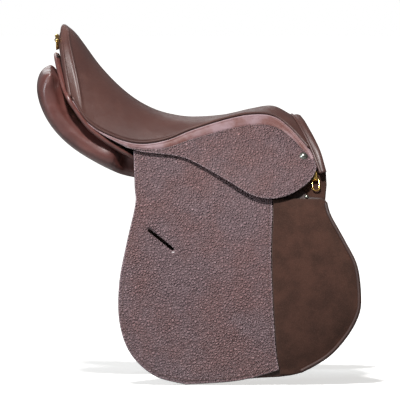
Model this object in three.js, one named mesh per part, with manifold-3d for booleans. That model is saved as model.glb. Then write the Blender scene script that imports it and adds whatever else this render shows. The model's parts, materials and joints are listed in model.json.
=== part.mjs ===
// English general-purpose saddle, built as an assembly of separate pieces.
// Millimetres. +X points to the pommel, +Y to the rider's left, +Z up.
// The origin lies under the middle of the saddle, level with the lowest point of the flaps.
import * as THREE from 'three';
import { mergeVertices } from 'three/addons/utils/BufferGeometryUtils.js';
import Module from 'manifold-3d';

const wasm = await Module();
wasm.setup();
const { clamp, lerp, smoothstep } = THREE.MathUtils;

// ---------------------------------------------------------------- driving dimensions
const FLAP_HALF_WIDTH = 190; // outer face of a flap at its bottom edge, from the centre plane
const HINGE_LEVEL = 362; // height where the side of the saddle turns under the seat
const HINGE_HALF_WIDTH = 113; // half width of the saddle at that height, at mid length
const SIDE_TAPER = 0.2; // how fast that half width shrinks towards the pommel
const SIDE_ROUNDING = 2.4; // how quickly the side turns from sloping to upright
const GRID = 40; // spacing of the facets that every side layer shares
const GAP = 0.3; // running clearance between pieces that touch
const BEND_GAP = 0.4; // clearance each side of the line where the skirt bends

const POMMEL_X = 143;
const CANTLE_X = -209;
const SEAT_FRONT_CORNER_X = 174;
const SEAT_REAR_CORNER_X = -192;
const COVER_THICKNESS = 2.2;
const WELT_RADIUS = 2.2;
const STRIP_RADIUS = 3.6;

// Side layers, measured inwards from the skirt's outer face.
const SKIRT = { out: 0, in: 4.6 };
const FLAP = { out: 5.8, in: 9.5 };
const LINING = { out: 9.8, in: 12.5 };
const GUARD = { out: 15, in: 17.5 };
const STRAP = { out: 20, in: 23.5 };
const SWEAT_FLAP = { out: 28.4, in: 31.4 };
const TREE_POINT = { out: 21, in: 28 };
const PANEL_FRONT = { out: 13.2, in: 26.5 };

const GIRTH_STRAP_X = { rear: -62, middle: -10, front: 42 };
const GIRTH_STRAP_WIDTH = 25;
const GIRTH_STRAP_TOP = 348;
const GIRTH_STRAP_BOTTOM = 92;
const STRAP_HOLES = 6;
const STRAP_HOLE_RADIUS = 2;
const STRAP_HOLE_PITCH = 22;

// The skirt and the flap bend along one straight line under the seat.
const BEND_REAR = { x: -100, z: 360 };
const BEND_FRONT = { x: 175, z: 326 };
const bendHeight = (x) => {
  const t = (x - BEND_REAR.x) / (BEND_FRONT.x - BEND_REAR.x);
  return lerp(BEND_REAR.z, BEND_FRONT.z, t);
};

// ---------------------------------------------------------------- materials
const finish = (color, roughness, metalness = 0) =>
  new THREE.MeshStandardMaterial({ color, roughness, metalness });
const seatLeather = () => finish(0x53362f, 0.55);
const flapLeather = () => finish(0x6e4c49, 0.6);
const panelLeather = () => finish(0x6b4440, 0.35);
const liningLeather = () => finish(0x4a2f28, 0.65);
const strapLeather = () => finish(0x3c2620, 0.6);
const suede = () => finish(0x33221c, 0.95);
const foam = () => finish(0xcbbf9c, 0.95);
const webbing = () => finish(0xb9ab8d, 0.95);
const beech = () => finish(0xb98d5a, 0.6);
const steel = () => finish(0x8c8f94, 0.35, 1);
const nickel = () => finish(0xc9cbc6, 0.2, 1);
const brass = () => finish(0xc9a04a, 0.25, 1);

// ---------------------------------------------------------------- geometry helpers
// Smooth function through [position, value] pairs, with positions rising.
function through(points) {
  const last = points.length - 1;
  const slopes = points.map((p, i) => {
    const before = points[Math.max(i - 1, 0)];
    const after = points[Math.min(i + 1, last)];
    return (after[1] - before[1]) / (after[0] - before[0]);
  });
  return (position) => {
    let i = 0;
    while (i < last - 1 && position > points[i + 1][0]) i++;
    const [x0, y0] = points[i];
    const [x1, y1] = points[i + 1];
    const h = x1 - x0;
    const t = (position - x0) / h;
    const a = (1 + 2 * t) * (1 - t) * (1 - t);
    const b = t * (1 - t) * (1 - t);
    const c = t * t * (3 - 2 * t);
    const d = t * t * (t - 1);
    return a * y0 + b * h * slopes[i] + c * y1 + d * h * slopes[i + 1];
  };
}

// Turns the faces of a closed mesh outwards if they point inwards.
function facingOut(geometry) {
  const p = geometry.attributes.position;
  const index = geometry.index.array;
  const corner = (k) => new THREE.Vector3().fromBufferAttribute(p, index[k]);
  let volume = 0;
  for (let k = 0; k < index.length; k += 3) {
    volume += corner(k).dot(corner(k + 1).cross(corner(k + 2)));
  }
  if (volume < 0) flipFaces(index);
  geometry.computeVertexNormals();
  return geometry;
}

function flipFaces(index) {
  for (let k = 0; k < index.length; k += 3) {
    [index[k], index[k + 1]] = [index[k + 1], index[k]];
  }
}

function mirrored(geometry) {
  const copy = geometry.clone().scale(1, -1, 1);
  if (!copy.index) return mirrored(mergeVertices(bare(geometry)));
  flipFaces(copy.index.array);
  copy.computeVertexNormals();
  return copy;
}

function bare(geometry) {
  const copy = geometry.clone();
  copy.deleteAttribute('normal');
  copy.deleteAttribute('uv');
  return copy;
}

function solid(geometry) {
  const merged = mergeVertices(bare(geometry), 1e-4);
  return new wasm.Manifold(new wasm.Mesh({
    numProp: 3,
    vertProperties: new Float32Array(merged.attributes.position.array),
    triVerts: new Uint32Array(merged.index.array),
  }));
}

function geometryOf(manifold) {
  const mesh = manifold.getMesh();
  const geometry = new THREE.BufferGeometry();
  geometry.setAttribute('position', new THREE.BufferAttribute(mesh.vertProperties, 3));
  geometry.setIndex(new THREE.BufferAttribute(mesh.triVerts, 1));
  geometry.computeVertexNormals();
  return geometry;
}

const cut = (geometry, ...tools) =>
  geometryOf(tools.reduce((body, tool) => body.subtract(solid(tool)), solid(geometry)));

const common = (a, b) => geometryOf(solid(a).intersect(solid(b)));

// Closed solid between two surfaces given over u and v from 0 to 1.
function betweenSurfaces(outer, inner, uSteps, vSteps) {
  const positions = [];
  for (const surface of [outer, inner]) {
    for (let i = 0; i <= uSteps; i++) {
      for (let j = 0; j <= vSteps; j++) {
        positions.push(...surface(i / uSteps, j / vSteps).toArray());
      }
    }
  }
  const layer = (uSteps + 1) * (vSteps + 1);
  const at = (i, j, side) => side * layer + i * (vSteps + 1) + j;
  const index = [];
  const quad = (a, b, c, d) => index.push(a, b, c, a, c, d);
  for (let i = 0; i < uSteps; i++) {
    for (let j = 0; j < vSteps; j++) {
      quad(at(i, j, 0), at(i + 1, j, 0), at(i + 1, j + 1, 0), at(i, j + 1, 0));
      quad(at(i, j, 1), at(i, j + 1, 1), at(i + 1, j + 1, 1), at(i + 1, j, 1));
    }
    quad(at(i, 0, 0), at(i, 0, 1), at(i + 1, 0, 1), at(i + 1, 0, 0));
    quad(at(i, vSteps, 0), at(i + 1, vSteps, 0), at(i + 1, vSteps, 1), at(i, vSteps, 1));
  }
  for (let j = 0; j < vSteps; j++) {
    quad(at(0, j, 0), at(0, j + 1, 0), at(0, j + 1, 1), at(0, j, 1));
    quad(at(uSteps, j, 0), at(uSteps, j, 1), at(uSteps, j + 1, 1), at(uSteps, j + 1, 0));
  }
  const geometry = new THREE.BufferGeometry();
  geometry.setAttribute('position', new THREE.Float32BufferAttribute(positions, 3));
  geometry.setIndex(index);
  return facingOut(geometry);
}

function normalOf(surface, u, v) {
  const step = 1e-3;
  const along = surface(u + step, v).sub(surface(u - step, v));
  const across = surface(u, v + step).sub(surface(u, v - step));
  return across.cross(along).normalize();
}

// Round rod along a list of points.
function rod(points, radius, steps, sides = 6) {
  const path = new THREE.CatmullRomCurve3(points, false, 'centripetal');
  const circle = new THREE.Shape();
  circle.absarc(0, 0, radius, 0, 2 * Math.PI);
  const options = { extrudePath: path, steps, curveSegments: sides / 2 };
  const geometry = new THREE.ExtrudeGeometry(circle, options);
  return facingOut(mergeVertices(bare(geometry), 1e-4));
}

// ---------------------------------------------------------------- side of the saddle
// Half width of the skirt's outer face at a point of the side view.
function sideAt(x, z) {
  const top = HINGE_HALF_WIDTH - SIDE_TAPER * x;
  const drop = (HINGE_LEVEL - z) / HINGE_LEVEL;
  const reach = FLAP_HALF_WIDTH - top;
  if (drop < 0) return top + reach * SIDE_ROUNDING * drop;
  return top + reach * (1 - Math.max(0, 1 - drop) ** SIDE_ROUNDING);
}

const onSide = (x, z, inwards = 0) => new THREE.Vector3(x, sideAt(x, z) - inwards, z);

// A prism across the saddle with the given side-view outline.
function prism(outline, curveSegments = 2) {
  const depth = 420;
  const geometry = new THREE.ExtrudeGeometry(outline, { depth, bevelEnabled: false, curveSegments });
  geometry.rotateX(Math.PI / 2);
  geometry.translate(0, depth - 60, 0);
  return geometry;
}

// A layer of the left side, cut to a side-view outline. Depths are in from the skirt's face
// and may vary from place to place.
function sideLayer(outline, out, inside, curveSegments = 2) {
  const points = outline.getPoints(6);
  const xs = points.map((p) => p.x);
  const zs = points.map((p) => p.y);
  const low = (values) => Math.floor((Math.min(...values) - 1) / GRID) * GRID;
  const high = (values) => Math.ceil((Math.max(...values) + 1) / GRID) * GRID;
  const [x0, x1, z0, z1] = [low(xs), high(xs), low(zs), high(zs)];
  const depthOf = (depth, x, z) => (typeof depth === 'function' ? depth(x, z) : depth);
  const surface = (depth) => (u, v) => {
    const x = lerp(x0, x1, u);
    const z = lerp(z0, z1, v);
    return onSide(x, z, depthOf(depth, x, z));
  };
  const uSteps = Math.round((x1 - x0) / GRID);
  const vSteps = Math.round((z1 - z0) / GRID);
  const slab = betweenSurfaces(surface(out), surface(inside), uSteps, vSteps);
  return common(slab, prism(outline, curveSegments));
}

// Side-view outline: straight runs and smooth curves in turn, from a start point.
function outlineFrom(start, ...runs) {
  const shape = new THREE.Shape();
  shape.moveTo(...start);
  for (const run of runs) {
    if (run.length === 1) shape.lineTo(...run[0]);
    else shape.splineThru(run.map(([x, z]) => new THREE.Vector2(x, z)));
  }
  return shape;
}

function roundedRectangle(x0, z0, x1, z1, radius) {
  const shape = new THREE.Shape();
  shape.absarc(x0 + radius, z0 + radius, radius, Math.PI, 1.5 * Math.PI);
  shape.absarc(x1 - radius, z0 + radius, radius, 1.5 * Math.PI, 2 * Math.PI);
  shape.absarc(x1 - radius, z1 - radius, radius, 0, 0.5 * Math.PI);
  shape.absarc(x0 + radius, z1 - radius, radius, 0.5 * Math.PI, Math.PI);
  return shape;
}

// ---------------------------------------------------------------- seat
// Layers under the seat, measured in from its upper face.
const FOAM = [2.6, 13];
const STRAINING_WEB = [13.4, 14.8];
const HEAD_PLATE = [14, 16.8];
const GIRTH_WEB = [15.2, 16.8];
const TREE_BOARD = [17.4, 26];
const GULLET_PLATE = [26.4, 29];
const SPRING_BAR = [27.4, 29];
const GULLET_LINING = [33, 35];

// Height of the seat along the centre line, and of the welt where the skirt begins.
const seatLine = through([
  [-209, 547], [-189, 530], [-150, 478], [-110, 438.6], [-71, 415], [-31, 404],
  [0, 402.3], [41, 406], [80, 415], [114, 419], [143, 405],
]);
const weltLine = through([
  [-193, 436], [-169, 399], [-130, 376], [-91, 366], [-51, 371], [-12, 386],
  [41, 402], [80, 409], [114, 406], [140, 388], [174, 350],
]);

// Point of the seat's upper face. t runs from the pommel to the cantle, v from the
// centre line (0) to the welt (1 on the left, -1 on the right).
function seatPoint(t, v) {
  const side = Math.abs(v);
  const middleX = lerp(POMMEL_X, CANTLE_X, t);
  const edgeX = lerp(SEAT_FRONT_CORNER_X, SEAT_REAR_CORNER_X, t);
  const edgeZ = weltLine(edgeX);
  const crown = 2.4 + 0.6 * Math.sin(Math.PI * t);
  const x = lerp(middleX, edgeX, side ** (1.9 + 1.1 * t));
  const z = lerp(seatLine(middleX), edgeZ, side ** crown);
  return new THREE.Vector3(x, v * sideAt(edgeX, edgeZ), z);
}

// Facet lines from one value to another, on the multiples of a step that lie between them.
function facetLines(from, to, step) {
  const lines = [from];
  for (let k = Math.floor(from / step + 1.001); k * step < to - 1e-6; k++) lines.push(k * step);
  return [...lines, to];
}

// Piece that follows the seat between two depths, over part of its length and width.
function seatLayer([out, inside], [t0, t1], [v0, v1], vStep = 0.2) {
  const tLines = facetLines(t0, t1, 0.05);
  const vLines = facetLines(v0, v1, vStep);
  const [tSteps, vSteps] = [tLines.length - 1, vLines.length - 1];
  const face = (depth) => (a, b) => {
    const t = tLines[Math.round(a * tSteps)];
    const v = vLines[Math.round(b * vSteps)];
    return seatPoint(t, v).addScaledVector(normalOf(seatPoint, t, v), -depth);
  };
  return betweenSurfaces(face(out), face(inside), tSteps, vSteps);
}

const CANTLE_BACK_FOOT = { z: 507, drop: 74, x: -214 };

// Lower edge of the cantle's back, from the centre (v = 0) to a rear corner (v = 1).
function cantleFoot(v) {
  const side = Math.abs(v);
  const x = CANTLE_BACK_FOOT.x + 18 * side ** 2.4;
  const z = CANTLE_BACK_FOOT.z - CANTLE_BACK_FOOT.drop * side ** 2.1;
  return new THREE.Vector3(x, v * 127, z);
}

function cantleBack() {
  const outer = (a, b) => {
    const v = lerp(-1, 1, b);
    const bulge = 4 * Math.sin(Math.PI * Math.min(1, 1.2 * a));
    return seatPoint(1, v).lerp(cantleFoot(v), a).add(new THREE.Vector3(-bulge, 0, 0));
  };
  const inner = (a, b) => outer(a, b).add(new THREE.Vector3(COVER_THICKNESS, 0, 0));
  return betweenSurfaces(outer, inner, 4, 16);
}

// Line of the piping between the seat and the head facing.
function facingLine(w) {
  const side = Math.abs(w);
  if (side <= 0.75) return seatPoint(0, w / 0.75);
  const t = (side - 0.75) / 0.25;
  const x = lerp(174, 186, t);
  const z = lerp(350, 318, t);
  return new THREE.Vector3(x, Math.sign(w) * sideAt(x, z), z);
}

const headEdgeX = through([[0, 157], [0.4, 166], [0.75, 185], [1, 195]]);
const headEdgeZ = through([[0, 404], [0.4, 391], [0.75, 354], [1, 320]]);
const headEdgeY = through([[0, 0], [0.4, 44], [0.75, 84], [1, 102]]);

// Padded leather facing over the front of the head arch.
function headFacing() {
  const inset = 0.16;
  const outer = (a, b) => {
    const w = lerp(-1, 1, b);
    const side = Math.abs(w);
    const front = new THREE.Vector3(headEdgeX(side), Math.sign(w) * headEdgeY(side), headEdgeZ(side));
    return facingLine(w).lerp(front, lerp(inset, 1, a));
  };
  const inner = (a, b) => {
    const w = lerp(-1, 1, b);
    const inward = new THREE.Vector3(-2, -Math.sin(w * Math.PI / 2) * 8, -8 + 5 * Math.abs(w));
    return outer(a, b).add(inward);
  };
  return betweenSurfaces(outer, inner, 2, 18);
}

function facingWelt(radius) {
  const points = [];
  for (let k = -10; k <= 10; k++) points.push(facingLine(k / 10));
  return rod(points, radius, 22);
}

function seatWelt(radius) {
  const points = [];
  for (let k = 0; k <= 12; k++) {
    const x = lerp(SEAT_REAR_CORNER_X, SEAT_FRONT_CORNER_X - 8, k / 12);
    points.push(onSide(x, weltLine(x), -0.4));
  }
  return rod(points, radius, 16);
}

// ---------------------------------------------------------------- skirt, flap and knee pad
const SKIRT_TOP_DROP = 3.4; // the skirt's upper edge is tucked under the welt
const skirtEdge = [
  [180, 330], [169, 306.5], [140, 287], [110, 280], [80, 286], [41, 308.5],
  [1, 331], [-31, 344], [-91, 352], [-130, 368], [-169, 393], [-194, 427],
];

function skirtOutline() {
  const topPoints = [];
  for (let x = -193; x <= 172; x += 14.6) topPoints.push([x, weltLine(x) - SKIRT_TOP_DROP]);
  const shape = outlineFrom(topPoints[0], topPoints.slice(1), skirtEdge);
  shape.closePath();
  return shape;
}

// Everything of the side view below the bend line, from behind the lobe to its front.
function belowBend(lift) {
  const [x0, x1] = [-125, 400];
  return outlineFrom([x0, -50], [[x1, -50]], [[x1, bendHeight(x1) + lift]],
    [[x0, bendHeight(x0) + lift]]);
}

const flapRear = [
  [-98, 300], [-97, 272], [-110, 214], [-121, 155], [-121, 96], [-104, 47], [-67, 13], [-20, 0],
];
const flapTopRear = [-100, 357.5];
const BAR_NOTCH = { x0: 47, x1: 152, z: 300 };
const notchCorner = [[[60, BAR_NOTCH.z]], [[BAR_NOTCH.x0, 308]]];
const flapCutEdge = [[117, 51], [112, 126], [110, 200], [112, 254]];

function flapOutline() {
  const notchTop = bendHeight(BAR_NOTCH.x0) - 0.3;
  const shape = outlineFrom(flapTopRear, flapRear, [[41, 3.6], [80, 10], [121.7, 22]], flapCutEdge,
    [[112, BAR_NOTCH.z]], ...notchCorner, [[BAR_NOTCH.x0, notchTop]]);
  shape.closePath();
  shape.holes.push(keeperSlot());
  return shape;
}

// Slanting slot that holds the end of the stirrup leather.
function keeperSlot() {
  const [x0, z0, x1, z1, r] = [-75, 232.5, -40.5, 205, 2.2];
  const angle = Math.atan2(z1 - z0, x1 - x0);
  const slot = new THREE.Path();
  slot.absarc(x0, z0, r, angle + 0.5 * Math.PI, angle + 1.5 * Math.PI);
  slot.absarc(x1, z1, r, angle - 0.5 * Math.PI, angle + 0.5 * Math.PI);
  slot.closePath();
  return slot;
}

const kneeFront = [
  [155, 18], [195, 41], [224, 72], [242, 105], [245.5, 134], [240, 179], [222, 216], [201, 254], [195, 274],
];

function liningOutline() {
  const shape = outlineFrom(flapTopRear, flapRear, [[41, 3.6], [80, 9], [121, 11.4]], kneeFront,
    [[190, 281]], [[167, 283]], [[BAR_NOTCH.x1, BAR_NOTCH.z]], ...notchCorner,
    [[BAR_NOTCH.x0, bendHeight(BAR_NOTCH.x0) - 0.3]]);
  shape.closePath();
  shape.holes.push(keeperSlot());
  return shape;
}

function kneePadOutline() {
  const cutEdge = flapCutEdge.map(([x, z]) => [x + 0.6, z]).reverse();
  const shape = outlineFrom([122.3, 14], kneeFront, [[188, 279]], [[113, 281]], [...cutEdge, [122.3, 22]]);
  shape.closePath();
  return shape;
}

// Rise of the knee pad's stuffing, highest near its middle.
function kneeRise(x, z) {
  const across = Math.sin(Math.PI * clamp((x - 104) / 146, 0, 1));
  const along = Math.sin(Math.PI * clamp((z - 8) / 275, 0, 1));
  return 9 * Math.sqrt(across * along);
}

// ---------------------------------------------------------------- girth straps and guards
function girthStrapOutline(x) {
  const half = GIRTH_STRAP_WIDTH / 2;
  const shape = roundedRectangle(x - half, GIRTH_STRAP_BOTTOM, x + half, GIRTH_STRAP_TOP, 6);
  for (let k = 0; k < STRAP_HOLES; k++) {
    const hole = new THREE.Path();
    hole.absarc(x, GIRTH_STRAP_BOTTOM + 24 + k * STRAP_HOLE_PITCH, STRAP_HOLE_RADIUS, 0, 2 * Math.PI, true);
    shape.holes.push(hole);
  }
  return shape;
}

function guardOutline() {
  const foot = [[-78, 236], [-50, 224], [-10, 221], [30, 224], [52, 236], [56, 262]];
  const shape = outlineFrom([-84, 325], [[-84, 262]], foot, [[56, 325]]);
  shape.closePath();
  return shape;
}

const SWEAT_FLAP_TOP = 286;
function sweatFlapOutline() {
  const shape = outlineFrom([-84, SWEAT_FLAP_TOP],
    [[-86, 250], [-100, 190], [-107, 130], [-98, 82], [-62, 52], [0, 42], [80, 44], [150, 58],
      [190, 92], [204, 140], [192, 196], [168, 250], [158, SWEAT_FLAP_TOP]]);
  shape.closePath();
  return shape;
}

// ---------------------------------------------------------------- panel
// Middle line of a panel cushion in the side view, from the front to the upturned rear end.
const panelPath = new THREE.CatmullRomCurve3([
  [152, 318], [100, 313], [40, 313], [-20, 315], [-70, 318], [-110, 328], [-150, 347],
  [-188, 373], [-216, 405], [-231, 443], [-227, 474],
].map(([x, z]) => new THREE.Vector3(x, 0, z)), false, 'centripetal');
const CHANNEL_HALF_WIDTH = 32;

// Outer edge of the cushion: inside the sweat flap at the front, full width behind it.
function panelReach(x) {
  const underFlap = sideAt(x, 296) - SWEAT_FLAP.in - 3;
  const behind = 140;
  const t = smoothstep(-x, 96, 140);
  return lerp(underFlap, behind, t);
}

function panelCushion() {
  const stations = 20;
  const slices = [0, 0.08, 0.3, 0.65, 0.85, 0.95, 1];
  const plumpness = [0.55, 0.9, 1, 1, 0.93, 0.72, 0.4];
  const positions = [];
  const cross = (s, eta, thick, side) => {
    const p = panelPath.getPointAt(s);
    const tangent = panelPath.getTangentAt(s);
    const normal = new THREE.Vector3(-tangent.z, 0, tangent.x).negate();
    const endRound = Math.sqrt(Math.max(0.02, 1 - ((s - 0.5) / 0.5) ** 12));
    const half = lerp(13.5, 17.5, smoothstep(s, 0.3, 0.7)) * endRound * thick;
    const reach = panelReach(p.x);
    const inner = 1 - eta;
    const tilt = lerp(lerp(0.62, 0.16, smoothstep(-p.x, -120, 150)), 0.12, s ** 8);
    const lift = inner * (reach - CHANNEL_HALF_WIDTH) * tilt;
    const y = lerp(CHANNEL_HALF_WIDTH, reach, eta) - 10 * s ** 8 * eta;
    const pull = 16 * s ** 6 * eta ** 3;
    return p.addScaledVector(normal, side * half).add(new THREE.Vector3(pull, y, lift));
  };
  slices.forEach((eta, k) => {
    for (const side of [-1, 1]) {
      for (let i = 0; i <= stations; i++) {
        positions.push(...cross(i / stations, eta, plumpness[k], side).toArray());
      }
    }
  });
  const count = stations + 1;
  const at = (slice, side, i) => (slice * 2 + side) * count + i;
  const index = [];
  const quad = (a, b, c, d) => index.push(a, b, c, a, c, d);
  const last = slices.length - 1;
  for (let i = 0; i < stations; i++) {
    for (let k = 0; k < last; k++) {
      quad(at(k, 0, i), at(k, 0, i + 1), at(k + 1, 0, i + 1), at(k + 1, 0, i));
      quad(at(k, 1, i), at(k + 1, 1, i), at(k + 1, 1, i + 1), at(k, 1, i + 1));
    }
    quad(at(0, 0, i), at(0, 1, i), at(0, 1, i + 1), at(0, 0, i + 1));
    quad(at(last, 0, i), at(last, 0, i + 1), at(last, 1, i + 1), at(last, 1, i));
  }
  for (let k = 0; k < last; k++) {
    quad(at(k, 0, 0), at(k + 1, 0, 0), at(k + 1, 1, 0), at(k, 1, 0));
    quad(at(k, 0, stations), at(k, 1, stations), at(k + 1, 1, stations), at(k + 1, 0, stations));
  }
  const geometry = new THREE.BufferGeometry();
  geometry.setAttribute('position', new THREE.Float32BufferAttribute(positions, 3));
  geometry.setIndex(index);
  return facingOut(geometry);
}

// Flat where the cushion bears on the horse's back: everything below this slab's top goes.
const REST = { x: 20, y: 70, z: 318, slope: 0.477 };
function restSlab() {
  const depth = 40;
  const slab = new THREE.BoxGeometry(130, 76, depth).translate(0, 0, -depth / 2);
  slab.rotateX(-Math.atan(REST.slope));
  return slab.translate(REST.x, REST.y, REST.z);
}

// Rounded binding that runs round the cantle and down both sides, over the panel.
function cantleStrip(radius) {
  const sideRun = [[-205, 434], [-192, 414], [-171, 389], [-148, 370], [-126, 356], [-104, 344]];
  const left = sideRun.map(([x, z]) => new THREE.Vector3(x, Math.min(sideAt(x, z), 138) - 3, z));
  const points = [...left].reverse().map((p) => new THREE.Vector3(p.x, -p.y, p.z));
  for (const v of [-0.85, -0.6, -0.3, 0, 0.3, 0.6, 0.85]) {
    points.push(cantleFoot(v).add(new THREE.Vector3(-5, 0, -9)));
  }
  points.push(...left);
  return rod(points, radius, 32);
}

// ---------------------------------------------------------------- metal fittings
// Moves a fitting made round the origin onto the left side of the saddle. Its own +X runs
// forwards, its own +Y outwards and its own +Z up the slope of the side.
function placeOnSide(geometry, x, z, inwards) {
  const here = onSide(x, z, inwards);
  const forward = onSide(x + 1, z, inwards).sub(here).normalize();
  const up = onSide(x, z + 1, inwards).sub(here);
  const outward = up.clone().cross(forward).normalize();
  const slope = forward.clone().cross(outward).normalize();
  const frame = new THREE.Matrix4().makeBasis(forward, outward, slope);
  frame.setPosition(here);
  return geometry.applyMatrix4(frame);
}

// Extrusion of a shape drawn in the x-y plane, centred on z.
function plate(shape, thickness, curveSegments = 6) {
  const options = { depth: thickness, bevelEnabled: false, curveSegments };
  return new THREE.ExtrudeGeometry(shape, options).translate(0, 0, -thickness / 2);
}

// Dee ring lying in its own x-z plane, hanging from its straight bar at the origin.
function deeRing(width, drop, wire) {
  const half = width / 2;
  const shape = new THREE.Shape();
  shape.moveTo(-half, wire / 2);
  shape.lineTo(-half, -drop + half * 0.7);
  shape.bezierCurveTo(-half * 0.9, -drop, half * 0.9, -drop, half, -drop + half * 0.7);
  shape.lineTo(half, wire / 2);
  shape.closePath();
  const inside = half - wire;
  const hole = new THREE.Path();
  hole.moveTo(-inside, -wire / 2);
  hole.lineTo(inside, -wire / 2);
  hole.lineTo(inside, -drop + half * 0.7);
  const bow = inside * 0.85;
  hole.bezierCurveTo(bow, -drop + wire, -bow, -drop + wire, -inside, -drop + half * 0.7);
  hole.closePath();
  shape.holes.push(hole);
  return plate(shape, wire).rotateX(Math.PI / 2);
}

// Loop round a dee's bar, with a tab that runs up to its nails. Its bore lies along x.
function deeLoop(width, wire, tab) {
  const bore = wire * 0.5 * Math.SQRT2 + 0.5;
  const wall = 1.4;
  const shape = new THREE.Shape();
  shape.absarc(0, 0, bore + wall, -Math.PI * 1.2, Math.PI * 0.3);
  shape.lineTo(bore + wall * 0.4, tab);
  shape.lineTo(-bore * 0.2, tab);
  shape.closePath();
  const hole = new THREE.Path();
  hole.absarc(0, 0, bore, 0, 2 * Math.PI, true);
  shape.holes.push(hole);
  return plate(shape, width, 4).rotateX(Math.PI / 2).rotateZ(Math.PI / 2);
}

// Domed nail head on the side, standing outwards.
function nailHead(radius, height) {
  const profile = [new THREE.Vector2(0, 0)];
  for (let k = 0; k <= 3; k++) {
    const angle = (k / 3) * Math.PI / 2;
    profile.push(new THREE.Vector2(Math.cos(angle) * radius, 0.8 + Math.sin(angle) * (height - 0.8)));
  }
  profile[profile.length - 1].x = 0;
  profile.splice(1, 0, new THREE.Vector2(radius, 0));
  return facingOut(mergeVertices(bare(new THREE.LatheGeometry(profile, 10)), 1e-4));
}

const BAR = { x: 104, z: 317, length: 66, height: 13, depth: 10, wall: 3, catch: 13 };

// Forged stirrup bar: a plate and a bar joined at the front, open at the back.
function stirrupBar() {
  const [a, d, w] = [BAR.length / 2, BAR.depth, BAR.wall];
  const shape = new THREE.Shape();
  shape.moveTo(-a - BAR.catch, 0);
  shape.absarc(a - 2, d / 2, d / 2, -0.5 * Math.PI, 0.5 * Math.PI);
  shape.lineTo(-a, d);
  shape.lineTo(-a, d - w);
  shape.lineTo(a - 5, d - w);
  shape.lineTo(a - 5, w - 0.5);
  shape.lineTo(-a - BAR.catch, w - 0.5);
  shape.closePath();
  return plate(shape, BAR.height, 4);
}

// Small catch that turns up behind the bar's open end.
function barCatch() {
  const r = BAR.height / 2;
  const shape = new THREE.Shape();
  shape.absarc(0, 0, r, -0.5 * Math.PI, 0.5 * Math.PI);
  shape.lineTo(-BAR.catch + r, r);
  shape.absarc(-BAR.catch + r, 0, r - 1, 0.5 * Math.PI, 1.5 * Math.PI);
  shape.closePath();
  const geometry = plate(shape, BAR.wall, 4).rotateX(Math.PI / 2);
  return geometry.translate(-BAR.length / 2 - r - 0.6, BAR.depth - BAR.wall / 2, 0);
}

// ---------------------------------------------------------------- assembly
const saddle = new THREE.Group();

function add(name, geometry, material) {
  const mesh = new THREE.Mesh(geometry, material);
  mesh.name = name;
  saddle.add(mesh);
}

function addPair(name, geometry, material) {
  add(`${name}_left`, geometry, material());
  add(`${name}_right`, mirrored(geometry), material());
}

// Frame under the seat.
function buildTree() {
  const board = seatLayer(TREE_BOARD, [0.05, 0.9], [-0.8, 0.8]);
  const waist = new THREE.Shape();
  waist.moveTo(84, -20);
  waist.lineTo(84, 20);
  waist.bezierCurveTo(20, 32, -40, 56, -104, 62);
  waist.lineTo(-104, -62);
  waist.bezierCurveTo(-40, -56, 20, -32, 84, -20);
  const opening = plate(waist, 500, 5).translate(0, 0, 400);
  add('tree', cut(board, opening), beech());
  add('head_plate', seatLayer(HEAD_PLATE, [0.05, 0.095], [-0.8, 0.8]), steel());
  add('gullet_plate', seatLayer(GULLET_PLATE, [0.05, 0.1], [-0.8, 0.8]), steel());
  addPair('spring_bar', seatLayer(SPRING_BAR, [0.15, 0.85], [0.6, 0.8]), steel);
  add('straining_web', seatLayer(STRAINING_WEB, [0.1, 0.85], [-0.4, 0.4]), webbing());
  add('girth_web_front', seatLayer(GIRTH_WEB, [0.35, 0.55], [-0.8, 0.8]), webbing());
  add('girth_web_rear', seatLayer(GIRTH_WEB, [0.6, 0.7], [-0.8, 0.8]), webbing());
  const point = outlineFrom([70, 344], [[70, 306]], [[112, 306]], [[114, 268], [130, 258], [146, 268]],
    [[148, 342]]);
  point.closePath();
  addPair('tree_point', sideLayer(point, TREE_POINT.out, TREE_POINT.in), beech);
}

function buildSeat() {
  const grooves = [seatWelt(WELT_RADIUS + GAP), mirrored(seatWelt(WELT_RADIUS + GAP))];
  const coverEdge = 0.965;
  const cover = seatLayer([0, COVER_THICKNESS], [0.012, 0.978], [-coverEdge, coverEdge], 0.1);
  add('seat_cover', cut(cover, ...grooves), seatLeather());
  add('seat_foam', seatLayer(FOAM, [0.05, 0.95], [-0.9, 0.9], 0.1), foam());
  add('cantle_back', cut(cantleBack(), ...grooves), seatLeather());
  add('head_facing', cut(headFacing(), facingWelt(WELT_RADIUS + GAP)), seatLeather());
  add('facing_welt', facingWelt(WELT_RADIUS), seatLeather());
  addPair('seat_welt', seatWelt(WELT_RADIUS), seatLeather);
}

function buildSkirtsAndFlaps() {
  const grooves = [seatWelt(WELT_RADIUS + GAP), facingWelt(WELT_RADIUS + GAP)];
  const skirt = cut(sideLayer(skirtOutline(), SKIRT.out, SKIRT.in), ...grooves);
  addPair('skirt_top', cut(skirt, prism(belowBend(BEND_GAP))), flapLeather);
  addPair('skirt_lobe', common(skirt, prism(belowBend(-BEND_GAP))), flapLeather);
  addPair('flap', sideLayer(flapOutline(), FLAP.out, FLAP.in), flapLeather);
  addPair('flap_lining', sideLayer(liningOutline(), LINING.out, LINING.in), liningLeather);
  const padFace = (x, z) => 6 - kneeRise(x, z);
  addPair('knee_pad', sideLayer(kneePadOutline(), padFace, FLAP.in), suede);
}

function buildGirthParts() {
  for (const [place, x] of Object.entries(GIRTH_STRAP_X)) {
    const strap = sideLayer(girthStrapOutline(x), STRAP.out, STRAP.in, 3);
    addPair(`girth_strap_${place}`, strap, strapLeather);
  }
  addPair('buckle_guard', sideLayer(guardOutline(), GUARD.out, GUARD.in), liningLeather);
  addPair('sweat_flap', sideLayer(sweatFlapOutline(), SWEAT_FLAP.out, SWEAT_FLAP.in), liningLeather);
}

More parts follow.
